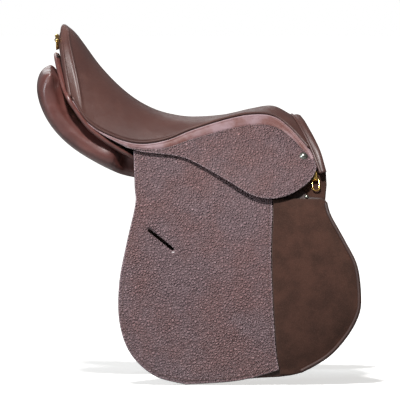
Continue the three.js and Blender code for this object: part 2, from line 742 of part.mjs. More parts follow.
function buildPanel() {
  const beside = roundedRectangle(-130, 240, 200, 372, 5);
  const room = sideLayer(beside, -40, TREE_POINT.in + 0.6);
  const strip = cantleStrip(STRIP_RADIUS + GAP);
  addPair('panel_cushion', cut(panelCushion(), strip, room, restSlab()), panelLeather);
  add('gullet_lining', seatLayer(GULLET_LINING, [0.1, 0.8], [-0.2, 0.2]), panelLeather());
  add('cantle_strip', cantleStrip(STRIP_RADIUS), panelLeather());
  const front = outlineFrom([152, 315], [[152, 264]], [[160, 258], [178, 256], [191, 262]], [[195, 300]],
    [[194, 315]]);
  front.closePath();
  addPair('panel_front', sideLayer(front, PANEL_FRONT.out, PANEL_FRONT.in), liningLeather);
}

const NAIL = { x: 160, z: 344, radius: 6.5, height: 4 };
const KNEE_NAIL = { x: 164, z: 283, radius: 3, height: 2.4 };
const DEE_WIRE = 2.6;
const FRONT_DEE = { x: 177.5, z: 309, inwards: 9, width: 13, drop: 20 };
const REAR_DEE = { x: -218.2, y: 46, z: 521, width: 22, drop: 15 };

function buildFittings() {
  addPair('stirrup_bar', placeOnSide(stirrupBar(), BAR.x, BAR.z, 20), steel);
  addPair('bar_catch', placeOnSide(barCatch(), BAR.x, BAR.z, 20), steel);
  addPair('saddle_nail', placeOnSide(nailHead(NAIL.radius, NAIL.height), NAIL.x, NAIL.z, -GAP), nickel);
  const tack = nailHead(KNEE_NAIL.radius, KNEE_NAIL.height);
  addPair('knee_pad_nail', placeOnSide(tack, KNEE_NAIL.x, KNEE_NAIL.z, 9), nickel);
  const front = (geometry) => placeOnSide(geometry, FRONT_DEE.x, FRONT_DEE.z, FRONT_DEE.inwards);
  addPair('front_dee', front(deeRing(FRONT_DEE.width, FRONT_DEE.drop, DEE_WIRE)), brass);
  addPair('front_dee_loop', front(deeLoop(7, DEE_WIRE, 12)), brass);
  const rear = (geometry) => geometry.rotateZ(Math.PI / 2).translate(REAR_DEE.x, REAR_DEE.y, REAR_DEE.z);
  addPair('rear_dee', rear(deeRing(REAR_DEE.width, REAR_DEE.drop, DEE_WIRE)), brass);
  addPair('rear_dee_loop', rear(deeLoop(10, DEE_WIRE, 8)), brass);
}

buildTree();
buildSeat();
buildSkirtsAndFlaps();
buildGirthParts();
buildPanel();
buildFittings();

export default saddle;
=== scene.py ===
"""The looks of an english saddle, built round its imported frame.

Shapes are worked out in millimetres in the frame's own axes (+X pommel, +Y rider's left, +Z up) and
turned into metres when a mesh is made. Left-hand pieces are built first and mirrored to the right.
"""
import json
import math

import bmesh
import bpy
import numpy as np
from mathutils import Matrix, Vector
from mathutils.geometry import delaunay_2d_cdt


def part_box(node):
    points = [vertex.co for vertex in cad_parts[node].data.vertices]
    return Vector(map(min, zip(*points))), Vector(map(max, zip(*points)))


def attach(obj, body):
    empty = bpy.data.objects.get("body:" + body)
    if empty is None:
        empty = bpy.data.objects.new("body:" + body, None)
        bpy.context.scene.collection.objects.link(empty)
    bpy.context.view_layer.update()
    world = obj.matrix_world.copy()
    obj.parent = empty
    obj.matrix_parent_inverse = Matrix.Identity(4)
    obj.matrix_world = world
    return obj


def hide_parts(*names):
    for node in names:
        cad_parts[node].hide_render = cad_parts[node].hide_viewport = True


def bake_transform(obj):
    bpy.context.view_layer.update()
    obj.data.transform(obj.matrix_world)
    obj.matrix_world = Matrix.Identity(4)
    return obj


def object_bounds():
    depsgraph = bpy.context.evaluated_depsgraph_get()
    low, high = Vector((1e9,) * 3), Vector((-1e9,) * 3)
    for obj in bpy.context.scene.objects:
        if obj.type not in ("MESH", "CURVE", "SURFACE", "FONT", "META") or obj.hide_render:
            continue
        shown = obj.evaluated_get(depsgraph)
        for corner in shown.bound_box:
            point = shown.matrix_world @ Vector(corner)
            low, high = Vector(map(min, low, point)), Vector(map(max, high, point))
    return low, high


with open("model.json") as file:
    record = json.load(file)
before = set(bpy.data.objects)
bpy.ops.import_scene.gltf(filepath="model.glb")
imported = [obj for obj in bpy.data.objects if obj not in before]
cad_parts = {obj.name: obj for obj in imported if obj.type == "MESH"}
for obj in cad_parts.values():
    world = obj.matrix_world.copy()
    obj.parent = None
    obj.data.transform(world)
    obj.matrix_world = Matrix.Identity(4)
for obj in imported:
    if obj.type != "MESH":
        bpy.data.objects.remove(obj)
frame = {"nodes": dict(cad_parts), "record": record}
CAD_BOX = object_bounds()
MM = 0.001

# ------------------------------------------------------------------ driving dimensions, mm
FLAP_HALF_WIDTH = 190.0
HINGE_LEVEL = 362.0
HINGE_HALF_WIDTH = 113.0
SIDE_TAPER = 0.2
SIDE_ROUNDING = 2.4
POMMEL_X, CANTLE_X = 143.0, -209.0
FRONT_CORNER_X, REAR_CORNER_X = 174.0, -192.0
WELT_RADIUS = 2.2

SKIRT = (0.0, 4.6)
FLAP = (5.8, 9.5)
LINING = (9.8, 12.5)
GUARD = (15.0, 17.5)
STRAP = (20.0, 23.5)
SWEAT_FLAP = (28.4, 31.4)
PANEL_FRONT = (13.2, 26.5)
TREE_POINT_IN = 28.0
PANEL_END_TILT = 0.12

BEND_REAR, BEND_FRONT = (-100.0, 360.0), (175.0, 326.0)


# ------------------------------------------------------------------ curves and surfaces
def through(points):
    """Smooth function through (position, value) pairs."""
    xs, ys = np.array(points, float).T
    slopes = np.empty_like(xs)
    slopes[1:-1] = (ys[2:] - ys[:-2]) / (xs[2:] - xs[:-2])
    slopes[0] = (ys[1] - ys[0]) / (xs[1] - xs[0])
    slopes[-1] = (ys[-1] - ys[-2]) / (xs[-1] - xs[-2])

    def value(x):
        i = np.clip(np.searchsorted(xs, x, side="left") - 1, 0, len(xs) - 2)
        h = xs[i + 1] - xs[i]
        t = (x - xs[i]) / h
        rise = (1 + 2 * t) * (1 - t) ** 2 * ys[i] + t * t * (3 - 2 * t) * ys[i + 1]
        return rise + h * (t * (1 - t) ** 2 * slopes[i] + t * t * (t - 1) * slopes[i + 1])

    return value


def between(a, b, t):
    return a + (b - a) * t


def xyz(x, y, z):
    """Points from their coordinates, any of which may be a plain number."""
    return np.stack(np.broadcast_arrays(x, y, z), -1)


def unit(vectors):
    return vectors / np.maximum(np.linalg.norm(vectors, axis=-1, keepdims=True), 1e-9)


def smoothstep(x, low, high):
    t = np.clip((x - low) / (high - low), 0, 1)
    return t * t * (3 - 2 * t)


def catmull(points, step):
    """Points about `step` apart along a smooth curve through the given points."""
    p = np.array(points, float)
    ext = np.vstack([p[0], p, p[-1]])
    out = []
    for i in range(len(p) - 1):
        p0, p1, p2, p3 = ext[i:i + 4]
        count = max(2, int(np.linalg.norm(p2 - p1) / step))
        for t in np.arange(count) / count:
            v0, v1 = (p2 - p0) / 2, (p3 - p1) / 2
            a = (2 * p1 - 2 * p2 + v0 + v1) * t ** 3
            b = (-3 * p1 + 3 * p2 - 2 * v0 - v1) * t ** 2
            out.append(a + b + v0 * t + p1)
    return np.vstack([out, p[-1]])


def line(a, b, step):
    count = max(1, int(math.dist(a, b) / step))
    t = np.linspace(0, 1, count + 1)[:, None]
    return np.array(a) * (1 - t) + np.array(b) * t


def outline(start, *runs, step=3.0):
    """Closed loop of points from straight runs (one point) and smooth runs (several)."""
    loop = [np.array([start], float)]
    for run in runs:
        last = loop[-1][-1]
        if len(run) == 1:
            loop.append(line(last, run[0], step)[1:])
        else:
            loop.append(catmull([last, *run], step)[1:])
    loop = np.vstack(loop)
    gap = math.dist(loop[-1], loop[0])
    if gap > step * 0.4:
        loop = np.vstack([loop, line(loop[-1], loop[0], step)[1:-1]])
    else:
        loop = loop[:-1]
    return loop


def circle(x, z, radius, count=16):
    a = np.arange(count) / count * 2 * math.pi
    return np.column_stack([x + radius * np.cos(a), z + radius * np.sin(a)])


def side_at(x, z):
    """Half width of the skirt's outer face at a point of the side view."""
    top = HINGE_HALF_WIDTH - SIDE_TAPER * x
    drop = (HINGE_LEVEL - z) / HINGE_LEVEL
    reach = FLAP_HALF_WIDTH - top
    below = reach * (1 - np.clip(1 - drop, 0, None) ** SIDE_ROUNDING)
    return top + np.where(drop < 0, reach * SIDE_ROUNDING * drop, below)


def side_normal(x, z):
    dx = side_at(x + 0.5, z) - side_at(x - 0.5, z)
    dz = side_at(x, z + 0.5) - side_at(x, z - 0.5)
    return unit(xyz(-dx, np.ones_like(dx), -dz))


def on_side(x, z, depth=0.0):
    x, z = np.asarray(x, float), np.asarray(z, float)
    return xyz(x, side_at(x, z) - depth, z)


def bend_height(x):
    (x0, z0), (x1, z1) = BEND_REAR, BEND_FRONT
    return z0 + (z1 - z0) * (x - x0) / (x1 - x0)


seat_line = through([
    (-209, 547), (-189, 530), (-150, 478), (-110, 438.6), (-71, 415), (-31, 404),
    (0, 402.3), (41, 406), (80, 415), (114, 419), (143, 405),
])
welt_line = through([
    (-193, 436), (-169, 399), (-130, 376), (-91, 366), (-51, 371), (-12, 386),
    (41, 402), (80, 409), (114, 406), (140, 388), (174, 350),
])


def seat_middle(t):
    return between(POMMEL_X, CANTLE_X, t)


def seat_edge(t):
    return between(FRONT_CORNER_X, REAR_CORNER_X, t)


def seat_crown(t):
    """Power that gives the seat's cross-section: flat on top, falling ever steeper to the welt."""
    return 2.4 + 0.6 * np.sin(math.pi * t)


def seat_point(t, v):
    """Seat surface: t from pommel to cantle, v from the centre line to the welt."""
    t, v = np.asarray(t, float), np.asarray(v, float)
    side = np.abs(v)
    edge_x = seat_edge(t)
    edge_z = welt_line(edge_x)
    x = between(seat_middle(t), edge_x, side ** (1.9 + 1.1 * t))
    z = between(seat_line(seat_middle(t)), edge_z, side ** seat_crown(t))
    return xyz(x, v * side_at(edge_x, edge_z), z)


def cantle_foot(v):
    """Lower edge of the cantle's back."""
    v = np.asarray(v, float)
    side = np.abs(v)
    return xyz(-214 + 18 * side ** 2.4, v * 127, 507 - 74 * side ** 2.1)


# ------------------------------------------------------------------ mesh building
def add_object(name, data):
    obj = bpy.data.objects.new(name, data)
    bpy.context.scene.collection.objects.link(obj)
    return obj


def shade_smooth(mesh):
    mesh.polygons.foreach_set("use_smooth", [True] * len(mesh.polygons))


def coordinates(mesh):
    co = np.empty(len(mesh.vertices) * 3, np.float32)
    mesh.vertices.foreach_get("co", co)
    return co.reshape(-1, 3).astype(float)


def set_coordinates(mesh, co):
    mesh.vertices.foreach_set("co", np.asarray(co, np.float32).ravel())
    mesh.update()


def mesh_object(name, verts, faces):
    """Closed mesh object from points in mm, with its faces turned outwards."""
    mesh = bpy.data.meshes.new(name)
    mesh.from_pydata((np.asarray(verts) * MM).tolist(), [], [list(map(int, f)) for f in faces])
    bm = bmesh.new()
    bm.from_mesh(mesh)
    bmesh.ops.recalc_face_normals(bm, faces=bm.faces)
    bm.to_mesh(mesh)
    bm.free()
    shade_smooth(mesh)
    return add_object(name, mesh)


def set_attribute(obj, name, values):
    layer = obj.data.attributes.new(name, "FLOAT", "POINT")
    layer.data.foreach_set("value", np.asarray(values, np.float32))


def mirror_copy(obj, name):
    """The same piece for the other side of the saddle."""
    mesh = obj.data.copy()
    mesh.name = name
    set_coordinates(mesh, coordinates(mesh) * (1, -1, 1))
    mesh.flip_normals()
    return add_object(name, mesh)


def grid_shell(name, outer, inner, us, vs):
    """Closed shell between two surfaces sampled on the same grid of u and v values."""
    u, v = np.meshgrid(us, vs, indexing="ij")
    nu, nv = len(us), len(vs)
    verts = np.vstack([outer(u, v).reshape(-1, 3), inner(u, v).reshape(-1, 3)])
    n = nu * nv
    faces = []
    for i in range(nu - 1):
        for j in range(nv - 1):
            a, b, c, d = i * nv + j, (i + 1) * nv + j, (i + 1) * nv + j + 1, i * nv + j + 1
            faces.append((a, b, c, d))
            faces.append((n + a, n + d, n + c, n + b))
    rim = [i * nv for i in range(nu)]
    rim += [(nu - 1) * nv + j for j in range(1, nv)]
    rim += [i * nv + nv - 1 for i in range(nu - 2, -1, -1)]
    rim += [j for j in range(nv - 2, 0, -1)]
    faces += [(a, b, n + b, n + a) for a, b in zip(rim, rim[1:] + rim[:1])]
    return mesh_object(name, verts, faces)


def tube_faces(rows, m, closed=False):
    """Faces round `rows` rings of m points: the last ring joined to the first, or both ends capped."""
    faces = []
    for i in range(rows if closed else rows - 1):
        k = (i + 1) % rows
        for j in range(m):
            n = (j + 1) % m
            faces.append((i * m + j, i * m + n, k * m + n, k * m + j))
    if not closed:
        faces.append(tuple(range(m)))
        faces.append(tuple((rows - 1) * m + j for j in range(m))[::-1])
    return faces


def sweep(name, path, profile, up, closed=False):
    """Solid swept along a path of points. The profile's first axis runs along up(point)."""
    path, profile = np.asarray(path, float), np.asarray(profile, float)
    tangent = np.roll(path, -1, 0) - np.roll(path, 1, 0)
    if not closed:
        tangent[0], tangent[-1] = path[1] - path[0], path[-1] - path[-2]
    tangent = unit(tangent)
    side = unit(np.cross(tangent, np.array([up(p) for p in path])))
    ups = np.cross(side, tangent)
    verts = (path[:, None] + profile[None, :, :1] * ups[:, None]
             + profile[None, :, 1:] * side[:, None]).reshape(-1, 3)
    return mesh_object(name, verts, tube_faces(len(path), len(profile), closed))


def ring_profile(radius, count=12):
    a = np.arange(count) / count * 2 * math.pi
    return np.column_stack([np.cos(a), np.sin(a)]) * radius


def lathe(name, profile, place, count=32):
    """Turned piece. The profile lists (radius, height); place maps local points to the saddle."""
    verts = []
    for r, h in profile:
        for k in range(count):
            a = k / count * 2 * math.pi
            verts.append((r * math.cos(a), h, r * math.sin(a)))
    return mesh_object(name, place(np.array(verts)), tube_faces(len(profile), count))


# ------------------------------------------------------------------ sheets of leather
def distance_to(points, loop, closed=True):
    """Distance of each point to a polyline."""
    a = loop if closed else loop[:-1]
    b = np.roll(loop, -1, 0) if closed else loop[1:]
    best = np.full(len(points), 1e9)
    for start in range(0, len(points), 2000):
        p = points[start:start + 2000, None]
        ab = b - a
        t = ((p - a) * ab).sum(-1) / np.maximum((ab * ab).sum(-1), 1e-12)
        near = a + np.clip(t, 0, 1)[..., None] * ab
        best[start:start + 2000] = np.linalg.norm(p - near, axis=-1).min(1)
    return best


def inside_loop(points, loop):
    x, y = points[:, 0:1], points[:, 1:2]
    x0, y0 = loop.T
    x1, y1 = np.roll(loop, -1, 0).T
    crosses = (y0 > y) != (y1 > y)
    with np.errstate(divide="ignore", invalid="ignore"):
        at = (x1 - x0) * (y - y0) / (y1 - y0) + x0
    return (crosses & (x < at)).sum(1) % 2 == 1


def moved_in(loop, distance):
    """Points of a closed loop, each moved towards the loop's inside."""
    area = 0.5 * np.sum(loop[:, 0] * np.roll(loop[:, 1], -1) - np.roll(loop[:, 0], -1) * loop[:, 1])
    along = unit(np.roll(loop, -1, 0) - np.roll(loop, 1, 0))
    return loop + np.column_stack([-along[:, 1], along[:, 0]]) * (1 if area > 0 else -1) * distance


def inset(loop, distance):
    """Points a given distance inside a closed loop, dropped where they crowd a corner."""
    moved = moved_in(loop, distance)
    return moved[(distance_to(moved, loop) > abs(distance) * 0.96) & inside_loop(moved, loop)]


# Rows of points that follow a sheet's edge, so that its rounding comes out smooth.
RINGS = (0.35, 0.9, 1.7, 2.6)
# Rows of points on both sides of a groove or a seam: a narrow pair and a wide pair.
GROOVE_ROWS = (-0.9, -0.3, 0.3, 0.9)
SEAM_ROWS = (-1.8, *GROOVE_ROWS, 1.8)
GROOVE_WIDTH = 0.75


def sheet(name, loop, out, inner, holes=(), spacing=6.0, rounding=1.6, grooves=(), relief=None,
          split=None, zone=None, crease=None):
    """Left-hand sheet that follows the side of the saddle.

    out and inner are depths in from the skirt's face. Each groove is (distance from the edge, depth).
    relief(x, z, d) is added to the outer depth, with d the distance from the edge.
    split is a polyline that parts the sheet in two; the upper part comes first.
    crease is a polyline along which the points crowd, for a seam.
    """
    loops = [loop, *holes]
    insets = list(RINGS)
    for at, _ in grooves:
        insets += [at + shift for shift in GROOVE_ROWS]
    low, high = loop.min(0), loop.max(0)
    gx, gz = np.meshgrid(np.arange(low[0], high[0], spacing), np.arange(low[1], high[1], spacing))
    gx[1::2] += spacing / 2
    cloud = np.column_stack([gx.ravel(), gz.ravel()])
    cloud = cloud[inside_loop(cloud, loop)]
    clear = max(insets) + spacing * 0.45
    for edge in loops:
        cloud = cloud[distance_to(cloud, edge) > (clear if edge is loop else 2.0)]
    rings = [inset(loop, d) for d in sorted(insets)]
    if crease is not None:
        cloud = cloud[distance_to(cloud, crease, closed=False) > 3.2]
        for shift in SEAM_ROWS:
            row = crease + (0, shift)
            row = row[inside_loop(row, loop)]
            rings.append(row[distance_to(row, loop) > max(insets) + 0.5])
    if split is not None:
        rings = [p[distance_to(p, split, closed=False) > 0.5] for p in rings]
        cloud = cloud[distance_to(cloud, split, closed=False) > 2.0]
    points, edges = [], []
    for edge in loops:
        start = sum(len(p) for p in points)
        n = len(edge)
        points.append(edge)
        edges += [(start + k, start + (k + 1) % n) for k in range(n)]
    if split is not None:
        start = sum(len(p) for p in points)
        points.append(split)
        edges += [(start + k, start + k + 1) for k in range(len(split) - 1)]
    points += [*rings, cloud]
    flat = np.vstack(points)
    verts, _, tris, _, _, _ = delaunay_2d_cdt([Vector(p) for p in flat], edges, [], 0, 1e-4)
    flat = np.array([(p.x, p.y) for p in verts])
    tris = np.array([tuple(t) for t in tris if len(t) == 3])
    middle = flat[tris].mean(1)
    good = inside_loop(middle, loop)
    for hole in holes:
        good &= ~inside_loop(middle, hole)
    tris, middle = tris[good], middle[good]
    if split is None:
        return sheet_solid(name, flat, tris, loops, out, inner, rounding, grooves, relief, zone)
    above = middle[:, 1] > np.interp(middle[:, 0], split[:, 0], split[:, 1])
    return [sheet_solid(f"{name}_{part}", flat, tris[pick], loops, out, inner, rounding, grooves, relief,
                        zone) for part, pick in (("upper", above), ("lower", ~above))]


def keep_seam_flat(obj, away_from_edge, n):
    """Marks the rim of a cut through the middle of a sheet as sharp: shading runs straight over it."""
    away = np.tile(away_from_edge, 2)
    walls = [face for face in obj.data.polygons if len({v < n for v in face.vertices}) == 2]
    rims = {tuple(sorted(key)) for face in walls for key in face.edge_keys
            if (key[0] < n) == (key[1] < n) and (away[key[0]] or away[key[1]])}
    for edge in obj.data.edges:
        if tuple(sorted(edge.vertices)) in rims:
            edge.use_edge_sharp = True


def sheet_solid(name, flat, tris, loops, out, inner, rounding, grooves, relief, zone):
    """Gives a flat triangle mesh its two faces, its rounded edge and its grooves, on the left side."""
    used, tris = np.unique(tris, return_inverse=True)
    tris = tris.reshape(-1, 3)
    flat = flat[used]
    x, z = flat.T
    d = np.min([distance_to(flat, edge) for edge in loops], axis=0)
    outer_edge = distance_to(flat, loops[0])
    top = out(x, z) if callable(out) else np.full(len(flat), float(out))
    for at, depth in grooves:
        top = top + depth * np.exp(-((outer_edge - at) / GROOVE_WIDTH) ** 2)
    if relief is not None:
        top = top + relief(x, z, outer_edge)
    roll = np.clip(1 - d / rounding, 0, 1)
    drop = rounding * (1 - np.sqrt(1 - roll ** 2))
    bottom = (inner(x, z) if callable(inner) else np.full(len(flat), float(inner))) - 0.5 * drop
    top = np.minimum(top + drop, bottom - 0.25)
    n = len(flat)
    verts = np.vstack([on_side(x, z, top), on_side(x, z, bottom)])
    a, b, c = flat[tris[:, 0]], flat[tris[:, 1]], flat[tris[:, 2]]
    turn = (b - a)[:, 0] * (c - a)[:, 1] - (b - a)[:, 1] * (c - a)[:, 0]
    tris = np.where(turn[:, None] > 0, tris, tris[:, ::-1])
    faces = [tuple(t[::-1]) for t in tris] + [tuple(t + n) for t in tris]
    directed = {(t[i], t[(i + 1) % 3]) for t in tris.tolist() for i in range(3)}
    for i, k in directed:
        if (k, i) not in directed:
            faces.append((i, k, k + n, i + n))
    obj = mesh_object(name, verts, faces)
    keep_seam_flat(obj, d > rounding * 0.5, n)
    set_attribute(obj, "edge", np.tile(np.exp(-outer_edge / 2.2), 2))
    if zone is not None:
        set_attribute(obj, "zone", np.tile(zone(x, z, outer_edge), 2))
    return obj


# ------------------------------------------------------------------ stitching
# A stitch is a short tube, dipping at both ends: (place along it, width, height) of its rings.
STITCH_SHAPE = (
    (-1.0, 0.35, -0.9), (-0.75, 0.85, -0.15), (0.0, 1.0, 0.25), (0.75, 0.85, -0.15), (1.0, 0.35, -0.9),
)
STITCH_SPOKES = 6
STITCH_SLANT = 0.14


def stitch_mesh(name, path, normals, pitch=3.6, length=2.7, radius=0.45, lift=0.1):
    """A row of thread stitches along a path that lies on a surface."""
    path, normals = np.asarray(path, float), np.asarray(normals, float)
    gaps = np.linalg.norm(np.diff(path, axis=0), axis=1)
    along = np.concatenate([[0], np.cumsum(gaps)])
    count = max(2, int(along[-1] / pitch))
    at = (np.arange(count) + 0.5) / count * along[-1]
    centre = np.column_stack([np.interp(at, along, path[:, k]) for k in range(3)])
    normal = np.column_stack([np.interp(at, along, normals[:, k]) for k in range(3)])
    ahead = np.column_stack([np.interp(np.minimum(at + 1, along[-1]), along, path[:, k]) for k in range(3)])
    behind = np.column_stack([np.interp(np.maximum(at - 1, 0), along, path[:, k]) for k in range(3)])
    tangent = unit(ahead - behind)
    side = unit(np.cross(tangent, normal))
    normal = np.cross(side, tangent)
    tangent = tangent + STITCH_SLANT * side
    verts, faces = [], []
    for t, swell, rise in STITCH_SHAPE:
        for k in range(STITCH_SPOKES):
            a = k / STITCH_SPOKES * 2 * math.pi
            verts.append(centre + tangent * (t * length / 2)
                         + normal * (lift + radius * (rise + swell * math.sin(a)))
                         + side * radius * swell * math.cos(a))
    verts = np.stack(verts, 1)
    per = len(STITCH_SHAPE) * STITCH_SPOKES
    local = tube_faces(len(STITCH_SHAPE), STITCH_SPOKES)
    for i in range(count):
        faces += [tuple(i * per + k for k in f) for f in local]
    return mesh_object(name, verts.reshape(-1, 3), faces)


def side_stitches(name, path, depth, **kw):
    """Stitches on the outer face of a side layer, along a side-view path."""
    path = np.asarray(path, float)
    depth = depth(path[:, 0], path[:, 1]) if callable(depth) else depth
    x, z = path.T
    return stitch_mesh(name, on_side(x, z, depth), side_normal(x, z), **kw)


def edge_path(loop, distance, keep):
    """Run of points a fixed distance inside a loop, only where keep(x, z) is true."""
    moved = moved_in(loop, distance)
    ok = (distance_to(moved, loop) > distance * 0.93) & keep(moved[:, 0], moved[:, 1])
    if ok.all():
        return moved
    start = int(np.argmax(~ok))
    order = (np.arange(len(loop)) + start) % len(loop)
    return moved[order][ok[order]]


# ------------------------------------------------------------------ materials
def srgb(r, g, b):
    """Colour given as 0-255 screen values, in the linear values that nodes use."""
    def linear(c):
        c /= 255
        return c / 12.92 if c <= 0.04045 else ((c + 0.055) / 1.055) ** 2.4
    return (linear(r), linear(g), linear(b), 1.0)


class Nodes:
    """Short way to write a material's node tree."""

    def __init__(self, name):
        self.material = bpy.data.materials.new(name)
        self.material.use_nodes = True
        self.tree = self.material.node_tree
        self.bsdf = self.tree.nodes["Principled BSDF"]
        self.coords = self.add("ShaderNodeTexCoord").outputs["Object"]

    def add(self, kind, **settings):
        node = self.tree.nodes.new(kind)
        for key, value in settings.items():
            setattr(node, key, value)
        return node

    def link(self, source, target):
        self.tree.links.new(source, target)

    def put(self, socket, value):
        if isinstance(value, bpy.types.NodeSocket):
            self.link(value, socket)
        else:
            socket.default_value = value

    def fill(self, node, **values):
        """Sets a node's inputs by name, with _ for a space. A value is a number, a colour or a socket."""
        for key, value in values.items():
            self.put(node.inputs[key.replace("_", " ")], value)
        return node

    def noise(self, scale, detail=3.0, rough=0.55, coords=None):
        node = self.add("ShaderNodeTexNoise")
        self.fill(node, Vector=coords or self.coords, Scale=scale, Detail=detail, Roughness=rough)
        return node.outputs["Fac"]

    def vector(self, operation, a, b):
        node = self.add("ShaderNodeVectorMath", operation=operation)
        self.put(node.inputs[0], a)
        self.put(node.inputs[1], b)
        return node.outputs[0]

    def warped(self, scale, amount):
        """Object coordinates pushed about by a noise, so that patterns do not look regular."""
        node = self.fill(self.add("ShaderNodeTexNoise"), Vector=self.coords, Scale=scale)
        shift = self.vector("SUBTRACT", node.outputs["Color"], (0.5, 0.5, 0.5))
        return self.vector("ADD", self.coords, self.vector("MULTIPLY", shift, (amount,) * 3))

    def cells(self, size, coords):
        node = self.add("ShaderNodeTexVoronoi", feature="DISTANCE_TO_EDGE")
        return self.fill(node, Vector=coords, Scale=1 / size).outputs["Distance"]

    def ramp(self, value, low, high, to_low=0.0, to_high=1.0):
        node = self.add("ShaderNodeMapRange", interpolation_type="SMOOTHSTEP")
        self.fill(node, Value=value, From_Min=low, From_Max=high, To_Min=to_low, To_Max=to_high)
        return node.outputs["Result"]

    def math(self, operation, a, b=0.0):
        node = self.add("ShaderNodeMath", operation=operation)
        self.put(node.inputs[0], a)
        self.put(node.inputs[1], b)
        return node.outputs[0]

    def mix(self, factor, a, b):
        node = self.add("ShaderNodeMix", data_type="RGBA")
        return self.fill(node, Factor=factor, A=a, B=b).outputs["Result"]

    def attribute(self, name):
        return self.add("ShaderNodeAttribute", attribute_name=name).outputs["Fac"]

    def bump(self, height, distance, below=None):
        node = self.fill(self.add("ShaderNodeBump"), Height=height, Distance=distance)
        if below is not None:
            self.fill(node, Normal=below)
        return node.outputs["Normal"]

    def done(self, colour, roughness, normal=None, **others):
        self.fill(self.bsdf, Base_Color=colour, Roughness=roughness, **others)
        if normal is not None:
            self.fill(self.bsdf, Normal=normal)
        return self.material


def pebbled_leather(name, base, crease_shade_and_edge_dye, tint, band, bevel):
    """Drum-dyed grained leather: rounded pebbles, painted shade in the creases between them, a painted
    highlight along the rounded edge and a slow drift of colour.
    Where the zone attribute is 1 the leather is smooth, like the strip along the top of a skirt."""
    n = Nodes(name)
    where = n.warped(190, 0.0030)
    pebble = n.ramp(n.cells(0.0042, where), 0.0, 0.40)
    fine = n.ramp(n.cells(0.0020, where), 0.0, 0.30)
    depth = n.math("MULTIPLY", pebble, n.ramp(n.noise(70, 2), 0.3, 0.7, 0.6, 1.0))
    height = n.math("ADD", depth, n.math("MULTIPLY", fine, 0.22))
    colour = n.mix(n.ramp(n.noise(14, 3), 0.35, 0.68), base, tint)
    # painted shade: the creases between the pebbles are darkened by their depth
    colour = n.mix(n.ramp(depth, 0.0, 0.45, 0.42, 0.0), colour, crease_shade_and_edge_dye)
    rough = n.ramp(height, 0.2, 1.2, 0.50, 0.26)
    smooth = n.ramp(n.attribute("zone"), 0.4, 0.6)
    plain = n.mix(n.ramp(n.noise(30, 3), 0.35, 0.7), band, base)
    colour = n.mix(smooth, colour, plain)
    height = n.math("MULTIPLY", height, n.math("SUBTRACT", 1.0, smooth))
    edge = n.attribute("edge")
    # painted highlight: a pale bluish band just inside the rounded edge, as if it caught the light; bevel is
    # its colour
    colour = n.mix(n.ramp(edge, 0.30, 0.60, 0.0, 0.55), colour, bevel)
    # the rim itself takes the dark dye of the cut edge
    colour = n.mix(n.ramp(edge, 0.80, 0.98, 0.0, 0.85), colour, crease_shade_and_edge_dye)
    normal = n.bump(height, 0.0042)
    normal = n.bump(n.noise(900, 3), 0.00008, normal)
    normal = n.bump(n.noise(38, 3), 0.0006, normal)
    coat = n.ramp(smooth, 0.0, 1.0, 0.40, 0.12)
    return n.done(colour, rough, normal, Coat_Weight=coat, Coat_Roughness=0.28)


def smooth_leather(name, base, deep, glow, roughness=0.42, gloss=0.2, grain=0.0009, wrinkle=0.0):
    """Fine-grained calf leather with pull-up glow and faint creases."""
    n = Nodes(name)
    where = n.warped(500, 0.0007)
    fine = n.ramp(n.cells(grain, where), 0.0, 0.3)
    pores = n.noise(2200, 2)
    height = n.math("ADD", n.math("MULTIPLY", fine, 0.5), n.math("MULTIPLY", pores, 0.3))
    drift = n.ramp(n.noise(9, 4), 0.3, 0.72)
    colour = n.mix(drift, deep, base)
    colour = n.mix(n.ramp(n.noise(34, 3), 0.5, 0.8, 0.0, 0.45), colour, glow)
    colour = n.mix(n.ramp(fine, 0.0, 0.8, 0.35, 0.0), colour, deep)
    rough = n.ramp(n.noise(60, 3), 0.3, 0.7, roughness - 0.06, roughness + 0.08)
    normal = n.bump(height, 0.00012)
    normal = n.bump(n.noise(30, 4, 0.6), 0.0008 + wrinkle, normal)
    return n.done(colour, rough, normal, Coat_Weight=gloss, Coat_Roughness=0.30, Specular_IOR_Level=0.35)


def suede(name, base, dark, light):
    """Brushed nap: mottled by where it was last stroked."""
    n = Nodes(name)
    where = n.warped(120, 0.004)
    strokes = n.noise(28, 5, 0.65, where)
    nap = n.noise(900, 4, 0.7)
    speck = n.noise(2600, 2)
    colour = n.mix(n.ramp(strokes, 0.36, 0.66), dark, base)
    colour = n.mix(n.ramp(nap, 0.45, 0.75, 0.0, 0.6), colour, light)
    colour = n.mix(n.ramp(speck, 0.3, 0.6, 0.5, 0.0), colour, dark)
    edge = n.ramp(n.attribute("edge"), 0.2, 0.9)
    colour = n.mix(n.math("MULTIPLY", edge, 0.7), colour, dark)
    height = n.math("ADD", nap, n.math("MULTIPLY", speck, 0.6))
    normal = n.bump(height, 0.00035)
    normal = n.bump(n.noise(60, 3), 0.0008, normal)
    return n.done(colour, 0.95, normal, Sheen_Weight=0.12, Sheen_Roughness=0.6,
                  Sheen_Tint=(1.0, 0.78, 0.66, 1.0), Specular_IOR_Level=0.1)


def thread(name, colour):
    """Waxed thread: a fine twist runs along it."""
    n = Nodes(name)
    twist = n.noise(3500, 1)
    shade = n.mix(n.ramp(twist, 0.3, 0.7), colour, tuple(0.6 * c for c in colour[:3]) + (1.0,))
    return n.done(shade, 0.6, n.bump(twist, 0.0001), Sheen_Weight=0.3)


def metal(name, colour, tarnish, roughness):
    """Polished fitting with handling marks and patches of tarnish."""
    n = Nodes(name)
    marks = n.noise(900, 3)
    cloud = n.noise(140, 3)
    tint = n.mix(n.ramp(cloud, 0.45, 0.75, 0.0, 0.5), colour, tarnish)
    rough = n.ramp(marks, 0.3, 0.7, roughness * 0.7, roughness * 1.5)
    return n.done(tint, rough, n.bump(n.noise(2500, 2), 0.00004), Metallic=1.0)


